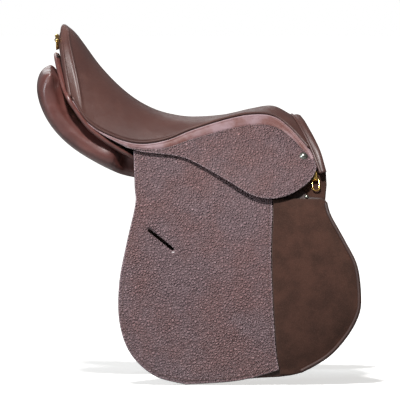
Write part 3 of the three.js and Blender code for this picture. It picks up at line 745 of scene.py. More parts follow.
def woven_web(name, light, dark):
    """Linen web: crossed warp and weft threads."""
    n = Nodes(name)
    split = n.add("ShaderNodeSeparateXYZ")
    n.link(n.coords, split.inputs[0])
    waves = []
    for axis in ("X", "Y"):
        scaled = n.math("MULTIPLY", split.outputs[axis], 2 * math.pi / 0.0016)
        waves.append(n.math("SINE", scaled))
    weave = n.math("MULTIPLY", waves[0], waves[1])
    shade = n.mix(n.ramp(weave, -0.8, 0.8), dark, light)
    shade = n.mix(n.ramp(n.noise(50, 3), 0.4, 0.7, 0.0, 0.5), shade, dark)
    return n.done(shade, 0.9, n.bump(weave, 0.0003), Sheen_Weight=0.2)


def foam_rubber(name, base, dark):
    n = Nodes(name)
    pores = n.ramp(n.cells(0.0016, n.warped(300, 0.001)), 0.0, 0.3)
    shade = n.mix(pores, dark, base)
    return n.done(shade, 0.95, n.bump(pores, 0.0003))


def laminated_wood(name, light, dark):
    """Beech plies: bands across the thickness and long grain."""
    n = Nodes(name)
    split = n.add("ShaderNodeSeparateXYZ")
    n.link(n.warped(20, 0.004), split.inputs[0])
    plies = n.math("SINE", n.math("MULTIPLY", split.outputs["Z"], 2 * math.pi / 0.0028))
    stretched = n.add("ShaderNodeMapping")
    n.link(n.coords, stretched.inputs["Vector"])
    stretched.inputs["Scale"].default_value = (0.08, 1.0, 1.0)
    grain = n.noise(700, 4, 0.6, stretched.outputs[0])
    shade = n.mix(n.ramp(plies, -0.4, 0.4, 0.25, 0.6), light, dark)
    shade = n.mix(n.ramp(grain, 0.45, 0.7, 0.0, 0.7), shade, dark)
    return n.done(shade, 0.55, n.bump(grain, 0.0002), Coat_Weight=0.25, Coat_Roughness=0.3)


MATERIALS = {
    "seat_leather": smooth_leather("seat_leather", srgb(80, 52, 46), srgb(66, 42, 38), srgb(95, 66, 59),
                                   roughness=0.46, gloss=0.14),
    # flap leather's second colour: painted shade for the grain's creases, also the dark dye of the cut edge
    "flap_leather": pebbled_leather("flap_leather", srgb(131, 106, 110), srgb(46, 32, 32), srgb(133, 99, 99),
                                    # bevel: colour of the painted highlight along the rounded edge
                                    band=srgb(100, 63, 58), bevel=srgb(168, 146, 150)),
    "panel_leather": smooth_leather("panel_leather", srgb(104, 60, 54), srgb(74, 42, 38), srgb(122, 80, 74),
                                    roughness=0.42, gloss=0.90, grain=0.0012, wrinkle=0.0006),
    "lining_leather": smooth_leather("lining_leather", srgb(66, 42, 35), srgb(46, 29, 24), srgb(84, 56, 48),
                                     roughness=0.5, gloss=0.08),
    "strap_leather": smooth_leather("strap_leather", srgb(56, 35, 28), srgb(36, 22, 18), srgb(80, 52, 42),
                                    roughness=0.4, gloss=0.15),
    "suede": suede("suede", srgb(67, 43, 35), srgb(48, 30, 24), srgb(88, 63, 52)),
    "foam": foam_rubber("foam", srgb(222, 214, 184), srgb(176, 164, 128)),
    "webbing": woven_web("webbing", srgb(206, 194, 164), srgb(140, 124, 94)),
    "beech": laminated_wood("beech", srgb(206, 168, 118), srgb(134, 92, 54)),
    "steel": metal("steel", srgb(176, 178, 182), srgb(108, 104, 100), 0.3),
    "nickel": metal("nickel", srgb(158, 160, 150), srgb(92, 94, 84), 0.26),
    "brass": metal("brass", srgb(226, 186, 104), srgb(140, 102, 44), 0.18),
}
THREAD = thread("stitching", srgb(104, 70, 64))
DARK_THREAD = thread("dark_stitching", srgb(48, 32, 29))


# ------------------------------------------------------------------ fitting pieces to the frame
def dress(obj, body, slot_name, replaces=(), material=None):
    """Puts a finished piece on its body, with its material and the CAD nodes it stands for.
    A piece given no body is left unattached here."""
    obj.data.materials.clear()
    obj.data.materials.append(material or MATERIALS[slot_name])
    if body is not None:
        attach(obj, body)
    if replaces:
        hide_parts(*replaces)
    return obj


def dress_pair(obj, body, slot_name, replaces=(), material=None):
    """Dresses a left-hand piece and its mirror image. Names that end in _left switch sides."""
    twin = mirror_copy(obj, obj.name.replace("_left", "_right"))
    for piece, side in ((obj, "left"), (twin, "right")):
        on_body = None if body is None else body.format(side=side)
        dress(piece, on_body, slot_name, [r.format(side=side) for r in replaces], material)
    return obj, twin


def leather_pair(name, loop, layer, body, slot_name, node, material=None, **shape):
    """A sheet between two depths, on both sides of the saddle, in place of a pair of CAD nodes."""
    obj = sheet(f"{name}_left", loop, *layer, **shape)
    return dress_pair(obj, body, slot_name, [node + "_{side}"], material)


# ------------------------------------------------------------------ seat
RIM_START = 0.962  # part of the seat leather's run that lies on the seat; the rest goes over the cantle
SEAT_THICKNESS = 2.0
RIDGE_HEIGHT = 2.4
WELT_GAP = 1.4


def rim_at(v):
    """How far back the seat runs before it turns over: nearly to the cantle's edge, less on the flanks."""
    return 0.980 - 0.022 * smoothstep(np.abs(v), 0.45, 0.95)


def rolled_rim(v, k):
    """Leather over the cantle, from the seat (k = 0) to the back (k = 1).
    It is round at the top of the cantle and turns over a firm ridge on the flanks."""
    start = seat_point(rim_at(v), v)
    foot = cantle_foot(v)
    top = seat_point(np.ones_like(v), v)
    end = top + (foot - top) * 0.30 + np.array([-3.0, 0, 0])
    k = k[..., None]
    round_corner = top + np.array([-3.0, 0, 3.5])
    flat_corner = start * 0.4 + end * 0.6
    flank = smoothstep(np.abs(v), 0.12, 0.5)[..., None]
    corner = between(round_corner, flat_corner, flank)
    return start * (1 - k) ** 2 + 2 * corner * k * (1 - k) + end * k ** 2


def seat_cover():
    """Seat leather. Its sides run down to just above the piping."""
    ts = np.concatenate([np.linspace(0.004, 0.90, 70), np.linspace(0.905, RIM_START, 16),
                         1 + np.linspace(0.06, 1, 16)])
    vs = np.linspace(-1, 1, 93)

    def reach(t):
        t = np.minimum(t, RIM_START)
        drop = seat_line(seat_middle(t)) - welt_line(seat_edge(t))
        return (1 - WELT_GAP / np.maximum(drop, 12)) ** (1 / seat_crown(t))

    def outer(t, v):
        v = v * reach(t)
        flat = seat_point(np.minimum(t, RIM_START) / RIM_START * rim_at(v), v)
        over = rolled_rim(v, np.clip(t - 1, 0, 1))
        ridge = np.exp(-((t - RIM_START) / 0.007) ** 2)
        ridge = ridge + np.exp(-(np.maximum(t - 1, 0) / 0.10) ** 2) * (t > 1)
        ridge = ridge * smoothstep(np.abs(v), 0.1, 0.45) * (1 - smoothstep(np.abs(v), 0.9, 0.98))
        lean = xyz(0.3, 0.8 * np.sign(v), 0.5)
        place = np.where((t > 1)[..., None], over, flat)
        return place + (ridge * RIDGE_HEIGHT)[..., None] * lean

    def inner(t, v):
        h = 1e-3
        along = outer(t - h, v) - outer(t + h, v)
        across = outer(t, v + h) - outer(t, v - h)
        return outer(t, v) - SEAT_THICKNESS * unit(np.cross(along, across))

    obj = grid_shell("seat_leather", outer, inner, ts, vs)
    return dress(obj, "saddle", "seat_leather", ["seat_cover"])


def cantle_back():
    """Rear face of the cantle, tucked under the rolled rim above and the strip below."""
    us = np.linspace(0, 1, 14)
    vs = np.linspace(-1, 1, 81)

    def outer(u, v):
        top = seat_point(np.ones_like(v), v)
        foot = cantle_foot(v)
        start = top + (foot - top) * 0.26 + np.array([-2.2, 0, 0])
        bulge = 3.0 * np.sin(math.pi * u)
        return between(start, foot, u[..., None]) - xyz(bulge, 0, 0)

    def inner(u, v):
        return outer(u, v) + np.array([2.2, 0, 0])

    return dress(grid_shell("cantle_back_leather", outer, inner, us, vs), "saddle", "seat_leather",
                 ["cantle_back"])


def facing_line(w):
    w = np.asarray(w, float)
    side = np.abs(w)
    arch = seat_point(np.zeros_like(w), np.clip(w / 0.75, -1, 1))
    t = np.clip((side - 0.75) / 0.25, 0, 1)
    x, z = 174 + 12 * t, 350 - 32 * t
    leg = xyz(x, np.sign(w) * side_at(x, z), z)
    return np.where((side <= 0.75)[..., None], arch, leg)


# The head's front edge in plan, height and half width, from the centre line (0) to the foot (1).
head_x = through([(0, 157), (0.4, 166), (0.75, 185), (1, 195)])
head_z = through([(0, 404), (0.4, 391), (0.75, 354), (1, 320)])
head_y = through([(0, 0), (0.4, 44), (0.75, 84), (1, 102)])


def head_facing():
    """Padded leather over the front of the head arch, turned under at its front edge."""
    us = np.linspace(0, 1, 26)
    vs = np.linspace(-1, 1, 97)
    turn = 0.62

    def away_from_head(points):
        """Direction out of the arch, mostly across the saddle."""
        return unit((points - (60.0, 0, 300.0)) * (0.2, 1, 1))

    def front(w):
        side = np.abs(w)
        return xyz(head_x(side), np.sign(w) * head_y(side), head_z(side))

    def outer(u, w):
        back = between(facing_line(w), front(w), 0.10)
        face = np.clip(u / turn, 0, 1)[..., None]
        under = np.clip((u - turn) / (1 - turn), 0, 1)[..., None]
        swell = np.sin(math.pi * face) * 1.6
        body = between(back, front(w), face)
        away = away_from_head(body)
        inward = xyz(-34.0, -np.sign(w) * 9 * np.abs(w) ** 0.5, -4)
        return body + away * swell + inward * under ** 1.2 - away * 7.0 * np.sin(under * math.pi / 2)

    def inner(u, w):
        flip = np.where(u > 0.66, -1.0, 1.0)[..., None]
        back = xyz(np.where(u > 0.5, 1.4, 0.0), 0, 0)
        return outer(u, w) - away_from_head(outer(u, w)) * 1.6 * flip - back

    return dress(grid_shell("head_facing_leather", outer, inner, us, vs), "saddle", "seat_leather",
                 ["head_facing"])


def welts():
    """Piping: a covered cord with its seam tucked in."""
    w = np.linspace(-1, 1, 140)
    path = facing_line(w)
    obj = sweep("facing_piping", path, ring_profile(WELT_RADIUS, 12), lambda p: Vector((1, 0, 0.3)))
    dress(obj, "saddle", "seat_leather", ["facing_welt"])
    xs = np.linspace(REAR_CORNER_X, FRONT_CORNER_X - 6, 150)
    path = on_side(xs, welt_line(xs), 0.2)
    obj = sweep("seat_piping_left", path, ring_profile(WELT_RADIUS, 12), lambda p: Vector((0, 1, 0)))
    dress_pair(obj, "saddle", "seat_leather", ["seat_welt_{side}"])


# ------------------------------------------------------------------ skirts, flaps and knee pads
SKIRT_EDGE = [
    (180, 330), (169, 306.5), (140, 287), (110, 280), (80, 286), (41, 308.5),
    (1, 331), (-31, 344), (-91, 352), (-130, 368), (-169, 393), (-194, 427),
]
FLAP_TOP_REAR = (-100, 357.5)
FLAP_REAR = [
    (-98, 300), (-97, 272), (-110, 214), (-121, 155), (-121, 96), (-104, 47), (-67, 13), (-20, 0),
]
FLAP_CUT_EDGE = [(117, 51), (112, 126), (110, 200), (112, 254)]
KNEE_FRONT = [
    (155, 18), (195, 41), (224, 72), (242, 105), (245.5, 134), (240, 179), (222, 216), (201, 254), (195, 274),
]
NOTCH_X0, NOTCH_X1, NOTCH_Z = 47, 152, 300
NOTCH_CORNER = [[(60, NOTCH_Z)], [(NOTCH_X0, 308)]]


def skirt_loop():
    xs = np.arange(-193, 173, 3.0)
    top = np.column_stack([xs, welt_line(xs) - 1.6])
    bottom = catmull([top[-1], *SKIRT_EDGE], 3.0)[1:]
    return np.vstack([top, bottom[:-1]])


def skirt_band_depth(x, z):
    """Distance below the welt."""
    return welt_line(np.clip(x, -193, 172)) - z


def lobe_lift(x, z):
    """How far the lower part of the skirt stands off the flap."""
    return 4.6 * smoothstep(bend_height(x) - z, 0, 46)


def skirts():
    loop = skirt_loop()

    def relief(x, z, d):
        crown = np.clip(d / 30, 0, 1) ** 0.8 * np.clip((x + 60) / 80, 0, 1)
        seam = 0.9 * np.exp(-((skirt_band_depth(x, z) - band_width(x)) / 0.8) ** 2)
        return seam - crown - lobe_lift(x, z)

    def inner(x, z):
        return SKIRT[1] - lobe_lift(x, z)

    def zone(x, z, d):
        return np.clip((band_width(x) - skirt_band_depth(x, z)) / 1.2 + 0.5, 0, 1)

    xs = np.arange(-119.0, 180.0, 3.0)
    split = np.column_stack([xs, bend_height(xs)])
    split = split[inside_loop(split, loop)]
    reach = np.array([3.0, bend_height(3.0) - bend_height(0.0)])
    split = np.vstack([split[0] - reach, split, split[-1] + reach])
    xs = np.arange(-150.0, 168.0, 2.5)
    seam = np.column_stack([xs, welt_line(xs) - band_width(xs)])
    upper, lower = sheet("skirt_leather", loop, SKIRT[0], inner, spacing=4.0, rounding=2.2,
                         grooves=((4.2, 0.35),), relief=relief, split=split, zone=zone, crease=seam)
    upper.name, lower.name = "skirt_upper_left", "skirt_lower_left"
    dress_pair(upper, "saddle", "flap_leather", ["skirt_top_{side}"])
    dress_pair(lower, "skirt_{side}", "flap_leather", ["skirt_lobe_{side}"])
    row = seam - (0, 1.6)
    for name, body, start, end in SKIRT_STITCH_RUNS:
        run = row[(row[:, 0] > start) & (row[:, 0] < end)]
        obj = side_stitches(f"skirt_{name}_stitches_left", run, -0.5)
        dress_pair(obj, body, "flap_leather", material=DARK_THREAD)


# The row of stitches is parted at the bend: part of the skirt, body, first and last x.
SKIRT_STITCH_RUNS = (("upper", "saddle", -55, 158), ("lower", "skirt_{side}", -115, -72))


def band_width(x):
    """Width of the smooth strip that runs under the welt."""
    return 9.5 + 8.5 * np.clip(1 - ((x - 60) / 150) ** 2, 0, 1)


def keeper_slot():
    (x0, z0), (x1, z1), r = (-75, 232.5), (-40.5, 205), 2.4
    angle = math.atan2(z1 - z0, x1 - x0)
    ends = []
    for x, z, first in ((x0, z0, 0.5), (x1, z1, -0.5)):
        for k in range(7):
            a = angle + (first + k / 6) * math.pi
            ends.append((x + r * math.cos(a), z + r * math.sin(a)))
    return np.array(ends)


def flap_loop():
    return outline(FLAP_TOP_REAR, FLAP_REAR, [(41, 3.6), (80, 10), (121.7, 22)], FLAP_CUT_EDGE,
                   [(112, NOTCH_Z)], *NOTCH_CORNER, [(NOTCH_X0, bend_height(NOTCH_X0) - 0.3)])


def flaps():
    loop = flap_loop()
    slot_hole = keeper_slot()

    def relief(x, z, d):
        lip = distance_to(np.column_stack([x, z]), slot_hole)
        return -0.5 * np.exp(-(lip / 2.5) ** 2)

    leather_pair("flap_leather", loop, FLAP, "flap_{side}", "flap_leather", "flap", holes=(slot_hole,),
                 spacing=6.0, rounding=1.8, grooves=((3.6, 0.4),), relief=relief,
                 zone=lambda x, z, d: np.zeros_like(x))
    path = edge_path(loop, 6.5, lambda x, z: z < bend_height(x) - 6)
    path = path[(path[:, 1] < 296) | (path[:, 0] < 0)]
    obj = side_stitches("flap_stitches_left", path, FLAP[0])
    dress_pair(obj, "flap_{side}", "flap_leather", material=THREAD)


def lining_loop():
    return outline(FLAP_TOP_REAR, FLAP_REAR, [(41, 3.6), (80, 9), (121, 11.4)], KNEE_FRONT, [(190, 281)],
                   [(167, 283)], [(NOTCH_X1, NOTCH_Z)], *NOTCH_CORNER,
                   [(NOTCH_X0, bend_height(NOTCH_X0) - 0.3)])


def linings():
    leather_pair("flap_lining_leather", lining_loop(), LINING, "flap_{side}", "lining_leather",
                 "flap_lining", holes=(keeper_slot(),), spacing=8.0, rounding=1.2)


def knee_loop():
    cut = [(x + 0.8, z) for x, z in FLAP_CUT_EDGE][::-1]
    return outline((122.5, 14), KNEE_FRONT, [(188, 279)], [(113, 281)], [*cut, (122.5, 22)])


KNEE_RIM_DEPTH, KNEE_PADDING = 7.2, 8.5
KNEE_TOP, KNEE_FOOT = 283, 12


def knee_pads():
    """Suede padded in the middle, easing down to a flat rim, with a thin roll along the front edge."""
    loop = knee_loop()
    front = catmull(KNEE_FRONT, 3.0)
    cut = catmull([(x + 0.8, z) for x, z in FLAP_CUT_EDGE], 3.0)

    def out(x, z):
        p = np.column_stack([x, z])
        to_front = distance_to(p, front, closed=False)
        to_cut = distance_to(p, cut, closed=False)
        to_top = KNEE_TOP - z
        to_foot = z - KNEE_FOOT
        rise = np.ones(len(p))
        for gap, ease in ((to_front - 8, 17), (to_cut + 4, 15), (to_top + 3, 20), (to_foot - 12, 20)):
            rise *= 1 - np.exp(-np.clip(gap, 0, None) / ease)
        ripple = 0.35 * np.sin(x / 17 + 1.5 * np.sin(z / 31)) * rise
        return KNEE_RIM_DEPTH - KNEE_PADDING * rise - ripple

    leather_pair("knee_pad_suede", loop, (out, FLAP[1]), "flap_{side}", "suede", "knee_pad",
                 spacing=4.0, rounding=1.8)
    path = inset_open(front, 2.4)
    roll = sweep("knee_roll_left", on_side(path[:, 0], path[:, 1], FLAP[1] - 2.6), ring_profile(2.9, 12),
                 lambda p: Vector((0, 1, 0)))
    dress_pair(roll, "flap_{side}", "lining_leather")


def inset_open(path, distance):
    """Moves an open side-view path towards the middle of the saddle."""
    along = unit(np.gradient(path, axis=0))
    return path + np.column_stack([-along[:, 1], along[:, 0]]) * distance


# ------------------------------------------------------------------ under the flap
STRAPS = (("rear", -62), ("middle", -10), ("front", 42))


def girth_straps():
    for name, x in STRAPS:
        half, top, bottom, tip = 12.5, 348, 92, 14
        loop = outline((x - half, top), [(x - half, bottom + tip)],
                       [(x - half + 3, bottom + 5), (x, bottom), (x + half - 3, bottom + 5),
                        (x + half, bottom + tip)], [(x + half, top)], step=2.5)
        holes = [circle(x, bottom + 24 + k * 22, 2.0, 14) for k in range(6)]
        strap = f"girth_strap_{name}"
        leather_pair(strap + "_leather", loop, STRAP, strap + "_{side}", "strap_leather", strap,
                     holes=holes, spacing=5.0, rounding=1.3, grooves=((2.6, 0.3),))


def guards():
    foot = [(-78, 236), (-50, 224), (-10, 221), (30, 224), (52, 236), (56, 262)]
    loop = outline((-84, 325), [(-84, 262)], foot, [(56, 325)])
    leather_pair("buckle_guard_leather", loop, GUARD, "buckle_guard_{side}", "lining_leather",
                 "buckle_guard", spacing=7.0, rounding=1.1, grooves=((3.0, 0.3),))


SWEAT_TOP = 286
SWEAT_RUN = [
    (-86, 250), (-100, 190), (-107, 130), (-98, 82), (-62, 52), (0, 42), (80, 44), (150, 58), (190, 92),
    (204, 140), (192, 196), (168, 250), (158, SWEAT_TOP),
]


def sweat_flaps():
    """The sweat flap runs on up to the panel."""
    lift = 9.0
    loop = outline((-82, SWEAT_TOP + lift), [(-84, SWEAT_TOP)], SWEAT_RUN, [(152, SWEAT_TOP + lift)])
    left, right = leather_pair("sweat_flap_leather", loop, SWEAT_FLAP, None, "lining_leather",
                               "sweat_flap", spacing=8.0, rounding=1.2, grooves=((4.0, 0.3),))
    path = edge_path(loop, 6.5, lambda x, z: z < SWEAT_TOP - 4)
    stitches = side_stitches("sweat_flap_stitches_left", path, SWEAT_FLAP[0])
    dress_pair(stitches, "sweat_flap_{side}", "lining_leather", material=DARK_THREAD)
    for piece, side in ((left, 1), (right, -1)):
        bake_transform(piece)


# ------------------------------------------------------------------ panel
def apply_modifier(obj, modifier):
    bpy.context.view_layer.objects.active = obj
    for other in bpy.context.selected_objects:
        other.select_set(False)
    obj.select_set(True)
    bpy.ops.object.modifier_apply(modifier=modifier.name)


def stuffed(obj, voxel, cap, pressure=4.0, shrink=1.2, frames=20):
    """Turns a plain solid into a stuffed form: remeshed, drawn in a little, then blown up as
    cloth. No point moves further than cap."""
    remesh = obj.modifiers.new("remesh", "REMESH")
    remesh.mode, remesh.voxel_size = "VOXEL", voxel * MM
    apply_modifier(obj, remesh)
    smooth = obj.modifiers.new("smooth", "SMOOTH")
    smooth.factor, smooth.iterations = 0.5, 4
    apply_modifier(obj, smooth)
    normals = np.array([v.normal for v in obj.data.vertices])
    set_coordinates(obj.data, coordinates(obj.data) - normals * shrink * MM)
    start = coordinates(obj.data)
    cloth = obj.modifiers.new("cloth", "CLOTH")
    settings = cloth.settings
    settings.use_pressure = True
    settings.uniform_pressure_force = pressure
    settings.effector_weights.gravity = 0
    settings.quality = 4
    settings.tension_stiffness = settings.compression_stiffness = 12
    cloth.point_cache.frame_start, cloth.point_cache.frame_end = 1, frames
    for number in range(1, frames + 1):
        bpy.context.scene.frame_set(number)
    graph = bpy.context.evaluated_depsgraph_get()
    move = coordinates(obj.evaluated_get(graph).data) - start
    obj.modifiers.remove(cloth)
    bpy.context.scene.frame_set(1)
    length = np.linalg.norm(move, axis=1, keepdims=True)
    move *= np.minimum(1, cap * MM / np.maximum(length, 1e-9))
    set_coordinates(obj.data, start + move)
    subdivision = obj.modifiers.new("subdivision", "SUBSURF")
    subdivision.levels = subdivision.render_levels = 1
    apply_modifier(obj, subdivision)
    shade_smooth(obj.data)
    return obj


PANEL_RUN = [
    (152, 318), (100, 313), (40, 313), (-20, 315), (-70, 318), (-110, 328), (-150, 347), (-188, 373),
    (-216, 405), (-231, 443), (-227, 474),
]
CHANNEL_HALF_WIDTH = 32.0
CUSHION_REAR_REACH = 140.0
CUSHION_REACH_LEVEL = 296.0
CUSHION_HALF_DEPTH = (14.5, 19.0)  # front and rear
REAR_NARROWING = 16
REAR_SWEEP = 5


def panel_cushion():
    """Left cushion before it is stuffed: an oval section carried along the panel's middle line."""
    run = catmull(PANEL_RUN, 1.0)
    along = np.concatenate([[0], np.cumsum(np.linalg.norm(np.diff(run, axis=0), axis=1))])
    s = (1 - np.cos(np.linspace(0, math.pi, 90))) / 2
    at = s * along[-1]
    px, pz = np.interp(at, along, run[:, 0]), np.interp(at, along, run[:, 1])
    slope = unit(np.gradient(run, axis=0))
    tx, tz = np.interp(at, along, slope[:, 0]), np.interp(at, along, slope[:, 1])
    reach = side_at(px, CUSHION_REACH_LEVEL) - SWEAT_FLAP[1] - 3
    reach = between(reach, CUSHION_REAR_REACH, smoothstep(-px, 96, 140))
    rounded_ends = np.sqrt(np.maximum(0.02, 1 - np.abs(2 * s - 1) ** 12))
    half = between(*CUSHION_HALF_DEPTH, smoothstep(s, 0.3, 0.7)) * rounded_ends
    front_tilt = 0.62 - 0.46 * smoothstep(-px, -120, 150)
    tilt = between(front_tilt, PANEL_END_TILT, s ** 8)
    angle = np.linspace(0, 2 * math.pi, 56, endpoint=False)
    across = 0.5 - 0.5 * np.sign(np.cos(angle)) * np.abs(np.cos(angle)) ** 0.6
    swell = np.sign(np.sin(angle)) * np.abs(np.sin(angle)) ** 0.9
    push = half[:, None] * swell
    y = between(CHANNEL_HALF_WIDTH, reach[:, None], across)
    y = y - REAR_NARROWING * (s ** 5)[:, None] * across ** 1.5
    lift = (1 - across) * (reach - CHANNEL_HALF_WIDTH)[:, None] * tilt[:, None]
    x = px[:, None] + push * tz[:, None] + REAR_SWEEP * (s ** 4)[:, None] * across ** 2
    z = pz[:, None] - push * tx[:, None] + lift
    room = side_at(x, z) - TREE_POINT_IN - 1.0
    y = np.where(x > -150, np.minimum(y, room + 40 * smoothstep(-x, 110, 150)), y)
    verts = xyz(x, y, z).reshape(-1, 3)
    return mesh_object("panel_cushion_leather_left", verts, tube_faces(len(s), len(angle)))


def panel():
    obj = stuffed(panel_cushion(), voxel=4.5, cap=4.0)
    dress_pair(obj, "saddle", "panel_leather", ["panel_cushion_{side}"])


def strip_path():
    run = [(-199, 433, 4), (-187, 414, 3), (-168, 389, 3), (-145, 370, 4), (-124, 356, 7), (-106, 346, 12),
           (-90, 338, 17)]
    left = [(x, min(float(side_at(x, z)), 138.0) - depth, z) for x, z, depth in run]
    right = [(x, -y, z) for x, y, z in left][::-1]
    back = [tuple(cantle_foot(v) + np.array([-5.5 + 3.2 * v * v, 0, -9]))
            for v in (-0.85, -0.6, -0.3, 0, 0.3, 0.6, 0.85)]
    return catmull([*right, *back, *left], 3.0)


def cantle_strip():
    """Binding with two beads and a groove between them."""
    half_width, half_depth, count = 4.4, 3.4, 28
    profile = []
    for k in range(count):
        a = k / count * 2 * math.pi
        waist = 1 - 0.16 * math.exp(-(math.sin(a) / 0.28) ** 2)
        profile.append((half_width * math.sin(a), half_depth * math.cos(a) * waist))

    def outward(p):
        flank = float(smoothstep(abs(p[1]), 85, 130))
        return Vector((flank - 1, math.copysign(flank, p[1]), 0.35))

    obj = sweep("cantle_strip_leather", strip_path(), profile, outward)
    dress(obj, "saddle", "panel_leather", ["cantle_strip"])


def gullet_channel():
    """Leather that closes the channel between the two cushions, over the horse's spine.
    Behind, it spreads out and rises to meet the strip below the cantle."""
    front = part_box("gullet_lining")[1].x / MM + 12
    rear = -172.0
    us = np.linspace(0, 1, 76)
    ys = np.linspace(-1, 1, 49)
    turn = 0.72
    crest = through([
        (-215, 472), (-180, 424), (-150, 398), (-110, 375), (-60, 361), (0, 356), (60, 359), (120, 371),
    ])

    def outer(u, s):
        x = between(front, rear, np.minimum(u / turn, 1))
        channel = xyz(x, s * 33, crest(x) + 6 - 16 * np.abs(s) ** 3)
        k = smoothstep(u, turn - 0.12, 1.0)[..., None]
        return between(channel, cantle_foot(0.82 * s) + (3.0, 0, -7.0), k)

    def inner(u, s):
        k = smoothstep(u, turn - 0.12, 1.0)
        return outer(u, s) + xyz(2.0 * k, 0, -2.0 * (1 - k))

    obj = grid_shell("gullet_channel_leather", outer, inner, us, ys)
    dress(obj, "saddle", "panel_leather", ["gullet_lining"])


PADDING = 1.5


def panel_fronts():
    """Front end of the panel, tucked up under the head facing. Its padding grows from the edge inwards."""
    loop = outline((152, 322), [(152, 264)], [(160, 258), (178, 256), (191, 262)], [(195, 300)], [(194, 322)])

    def relief(x, z, d):
        return -PADDING * np.clip(d / 10, 0, 1)

    layer = (PANEL_FRONT[0] + PADDING, PANEL_FRONT[1])
    leather_pair("panel_front_leather", loop, layer, "saddle", "lining_leather", "panel_front",
                 material=MATERIALS["suede"], spacing=4.0, rounding=3.0, relief=relief)


# ------------------------------------------------------------------ fittings
def side_place(x, z, depth):
    """Maps local points (forward, outward, up the slope) to the left side at one spot."""
    here = on_side(x, z, depth)
    forward = unit(on_side(x + 1.0, z, depth) - here)
    up = on_side(x, z + 1.0, depth) - here
    outward = unit(np.cross(up, forward))
    basis = np.array([forward, outward, np.cross(forward, outward)])
    return lambda local: here + np.asarray(local) @ basis


def nails():
    nail_at, tack_at = (160, 344, -0.3), (164, 283, 9)
    dome = [(6.4, -0.3), (6.5, 0.5), (6.2, 1.0), (5.6, 1.15), (5.2, 1.5), (4.9, 2.1), (4.0, 3.0), (2.7, 3.7),
            (1.2, 4.05), (0.35, 4.1)]
    obj = lathe("saddle_nail_head_left", dome, side_place(*nail_at))
    dress_pair(obj, "saddle", "nickel", ["saddle_nail_{side}"])
    tack = [(3.0, -0.3), (3.05, 0.3), (2.8, 0.8), (2.1, 1.5), (1.1, 1.95), (0.3, 2.05)]
    obj = lathe("knee_pad_tack_left", tack, side_place(*tack_at), count=24)
    dress_pair(obj, "flap_{side}", "nickel", ["knee_pad_nail_{side}"])


def dee_path(width, drop, wire):
    """Centre line of a dee ring in its own plane: straight bar above, round bow below."""
    half = (width - wire) / 2
    low = -drop + wire / 2 + 1
    bow = [(half * math.cos(a), low + half * 0.55 + (half * 0.55 + 2.0) * math.sin(a))
           for a in np.linspace(0, -math.pi, 17)]
    top = [(-half, -1.2), (-half + 1.0, 0), (half - 1.0, 0), (half, -1.2)]
    return catmull([*top, *bow, top[0]], 1.0)[:-1]


FRONT_DEE = (177.5, 309, 9)  # along, height, depth in from the skirt's face
REAR_DEE = (-218.2, 46, 521)
DEE_WIRE = 2.6


def dees():
    flat = dee_path(13, 20, DEE_WIRE)
    local = np.column_stack([flat[:, 0], 0 * flat[:, 0], flat[:, 1]])
    place = side_place(*FRONT_DEE)
    outward = Vector(place((0, 1, 0)) - place((0, 0, 0)))
    round_wire = ring_profile(DEE_WIRE / 2)
    obj = sweep("front_dee_ring_left", place(local), round_wire, lambda p: outward, closed=True)
    dress_pair(obj, "front_dee_{side}", "brass", ["front_dee_{side}"])
    flat = dee_path(22, 15, DEE_WIRE)
    ring = np.column_stack([0 * flat[:, 0], flat]) + REAR_DEE
    obj = sweep("rear_dee_ring_left", ring, round_wire, lambda p: Vector((1, 0, 0)), closed=True)
    dress_pair(obj, "rear_dee_{side}", "brass", ["rear_dee_{side}"])


def softened(node, name, slot_name, body, width):
    """A CAD fitting with its sharp edges broken."""
    obj = add_object(name, frame["nodes"][node].data.copy())
    weld = obj.modifiers.new("weld", "WELD")
    weld.merge_threshold = 1e-5
    apply_modifier(obj, weld)
    bevel = obj.modifiers.new("bevel", "BEVEL")
    bevel.width, bevel.segments, bevel.limit_method = width * MM, 3, "ANGLE"
    bevel.angle_limit = math.radians(28)
    apply_modifier(obj, bevel)
    shade_smooth(obj.data)
    dress(obj, body, slot_name, [node])


def small_metal():
    for side in ("left", "right"):
        softened(f"stirrup_bar_{side}", f"stirrup_bar_forging_{side}", "steel", "saddle", 0.7)
        softened(f"bar_catch_{side}", f"bar_catch_finger_{side}", "steel", f"bar_catch_{side}", 0.5)
        softened(f"front_dee_loop_{side}", f"front_dee_chape_{side}", "brass", "saddle", 0.35)
        softened(f"rear_dee_loop_{side}", f"rear_dee_chape_{side}", "brass", "saddle", 0.35)


def dress_frame_nodes():
    """The pieces inside keep their CAD shape and take real materials."""
    slots = {s["node"]: s["material_slot"] for s in frame["record"]["subparts"]}
    for name, node in frame["nodes"].items():
        node.data.materials.clear()
        node.data.materials.append(MATERIALS[slots[name]])


# ------------------------------------------------------------------ stage
def stage():
    """Pale floor out to the horizon, glowing more with distance until it meets the white beyond.
    From below it is clear, so that the underside can be looked at."""
    reach, below = 60.0, 0.0012
    verts = [(x * reach, y * reach, -below) for x, y in ((-1, -1), (1, -1), (1, 1), (-1, 1))]
    mesh = bpy.data.meshes.new("floor")
    mesh.from_pydata(verts, [], [(0, 1, 2, 3)])
    floor = add_object("floor", mesh)
    n = Nodes("floor_paper")
    seen = n.add("ShaderNodeLightPath").outputs["Is Camera Ray"]
    paper = n.mix(seen, (0.30, 0.30, 0.30, 1), (0.80, 0.79, 0.78, 1))
    n.put(n.bsdf.inputs["Emission Color"], (1.0, 0.99, 0.97, 1))
    far = n.add("ShaderNodeVectorMath", operation="LENGTH")
    n.link(n.coords, far.inputs[0])
    glow = n.ramp(far.outputs["Value"], 0.6, 3.0, 0.62, 1.06)
    above = n.math("SUBTRACT", 1.0, n.add("ShaderNodeNewGeometry").outputs["Backfacing"])
    floor.data.materials.append(n.done(paper, 0.9, Specular_IOR_Level=0.0, Alpha=above,
                                       Emission_Strength=n.math("MULTIPLY", seen, glow)))


ROOM_LIGHT = 0.17


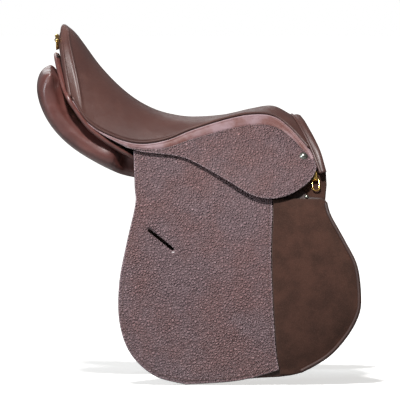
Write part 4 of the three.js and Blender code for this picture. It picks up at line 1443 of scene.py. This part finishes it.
def studio_walls():
    """White to the camera; to the saddle only a dim, even, slightly blue room."""
    world = bpy.data.worlds.new("studio")
    bpy.context.scene.world = world
    world.use_nodes = True
    tree = world.node_tree
    seen = tree.nodes.new("ShaderNodeLightPath").outputs["Is Camera Ray"]
    room = tree.nodes["Background"]
    room.inputs["Color"].default_value = (0.94, 0.97, 1.0, 1)
    room.inputs["Strength"].default_value = ROOM_LIGHT
    white = tree.nodes.new("ShaderNodeBackground")
    white.inputs["Color"].default_value = (1, 1, 1, 1)
    chosen = tree.nodes.new("ShaderNodeMixShader")
    tree.links.new(seen, chosen.inputs[0])
    tree.links.new(room.outputs[0], chosen.inputs[1])
    tree.links.new(white.outputs[0], chosen.inputs[2])
    tree.links.new(chosen.outputs[0], tree.nodes["World Output"].inputs["Surface"])


def area_light(name, place, aim, size, power, colour=(1, 1, 1)):
    light = bpy.data.lights.new(name, "AREA")
    light.shape, light.size, light.energy, light.color = "DISK", size, power, colour
    obj = add_object(name, light)
    obj.location = place
    obj.rotation_euler = (Vector(aim) - Vector(place)).to_track_quat("-Z", "Y").to_euler()


def lights():
    bpy.context.scene.view_settings.view_transform = "Standard"
    studio_walls()
    centre = (0, 0, 0.3)
    area_light("key", (-0.45, -1.6, 2.8), centre, 0.34, 150, (1.0, 0.98, 0.97))
    area_light("left", (-2.7, -1.9, 1.2), centre, 1.1, 52, (0.84, 0.92, 1.0))
    area_light("behind", (-0.4, 2.2, 1.5), centre, 1.4, 6)


def camera():
    """The right-hand side from two degrees above level, from far off with a long lens."""
    lens, sensor, distance, elevation = 560.0, 36.0, 9.6, math.radians(2.0)
    low, high = CAD_BOX
    to_the_right = 0.0015
    aim = Vector(((low[0] + high[0]) / 2 + to_the_right, 0.0, (low[2] + high[2]) / 2))
    data = bpy.data.cameras.new("camera")
    data.lens, data.sensor_width, data.clip_end = lens, sensor, 100
    obj = add_object("camera", data)
    obj.location = aim + Vector((0, -distance * math.cos(elevation), distance * math.sin(elevation)))
    obj.rotation_euler = (aim - obj.location).to_track_quat("-Z", "Y").to_euler()
    bpy.context.scene.camera = obj


# ------------------------------------------------------------------ build
dress_frame_nodes()
seat_cover()
cantle_back()
head_facing()
welts()
skirts()
flaps()
linings()
knee_pads()
girth_straps()
guards()
sweat_flaps()
panel()
cantle_strip()
gullet_channel()
panel_fronts()
nails()
dees()
small_metal()
stage()
lights()
camera()

bpy.context.view_layer.update()
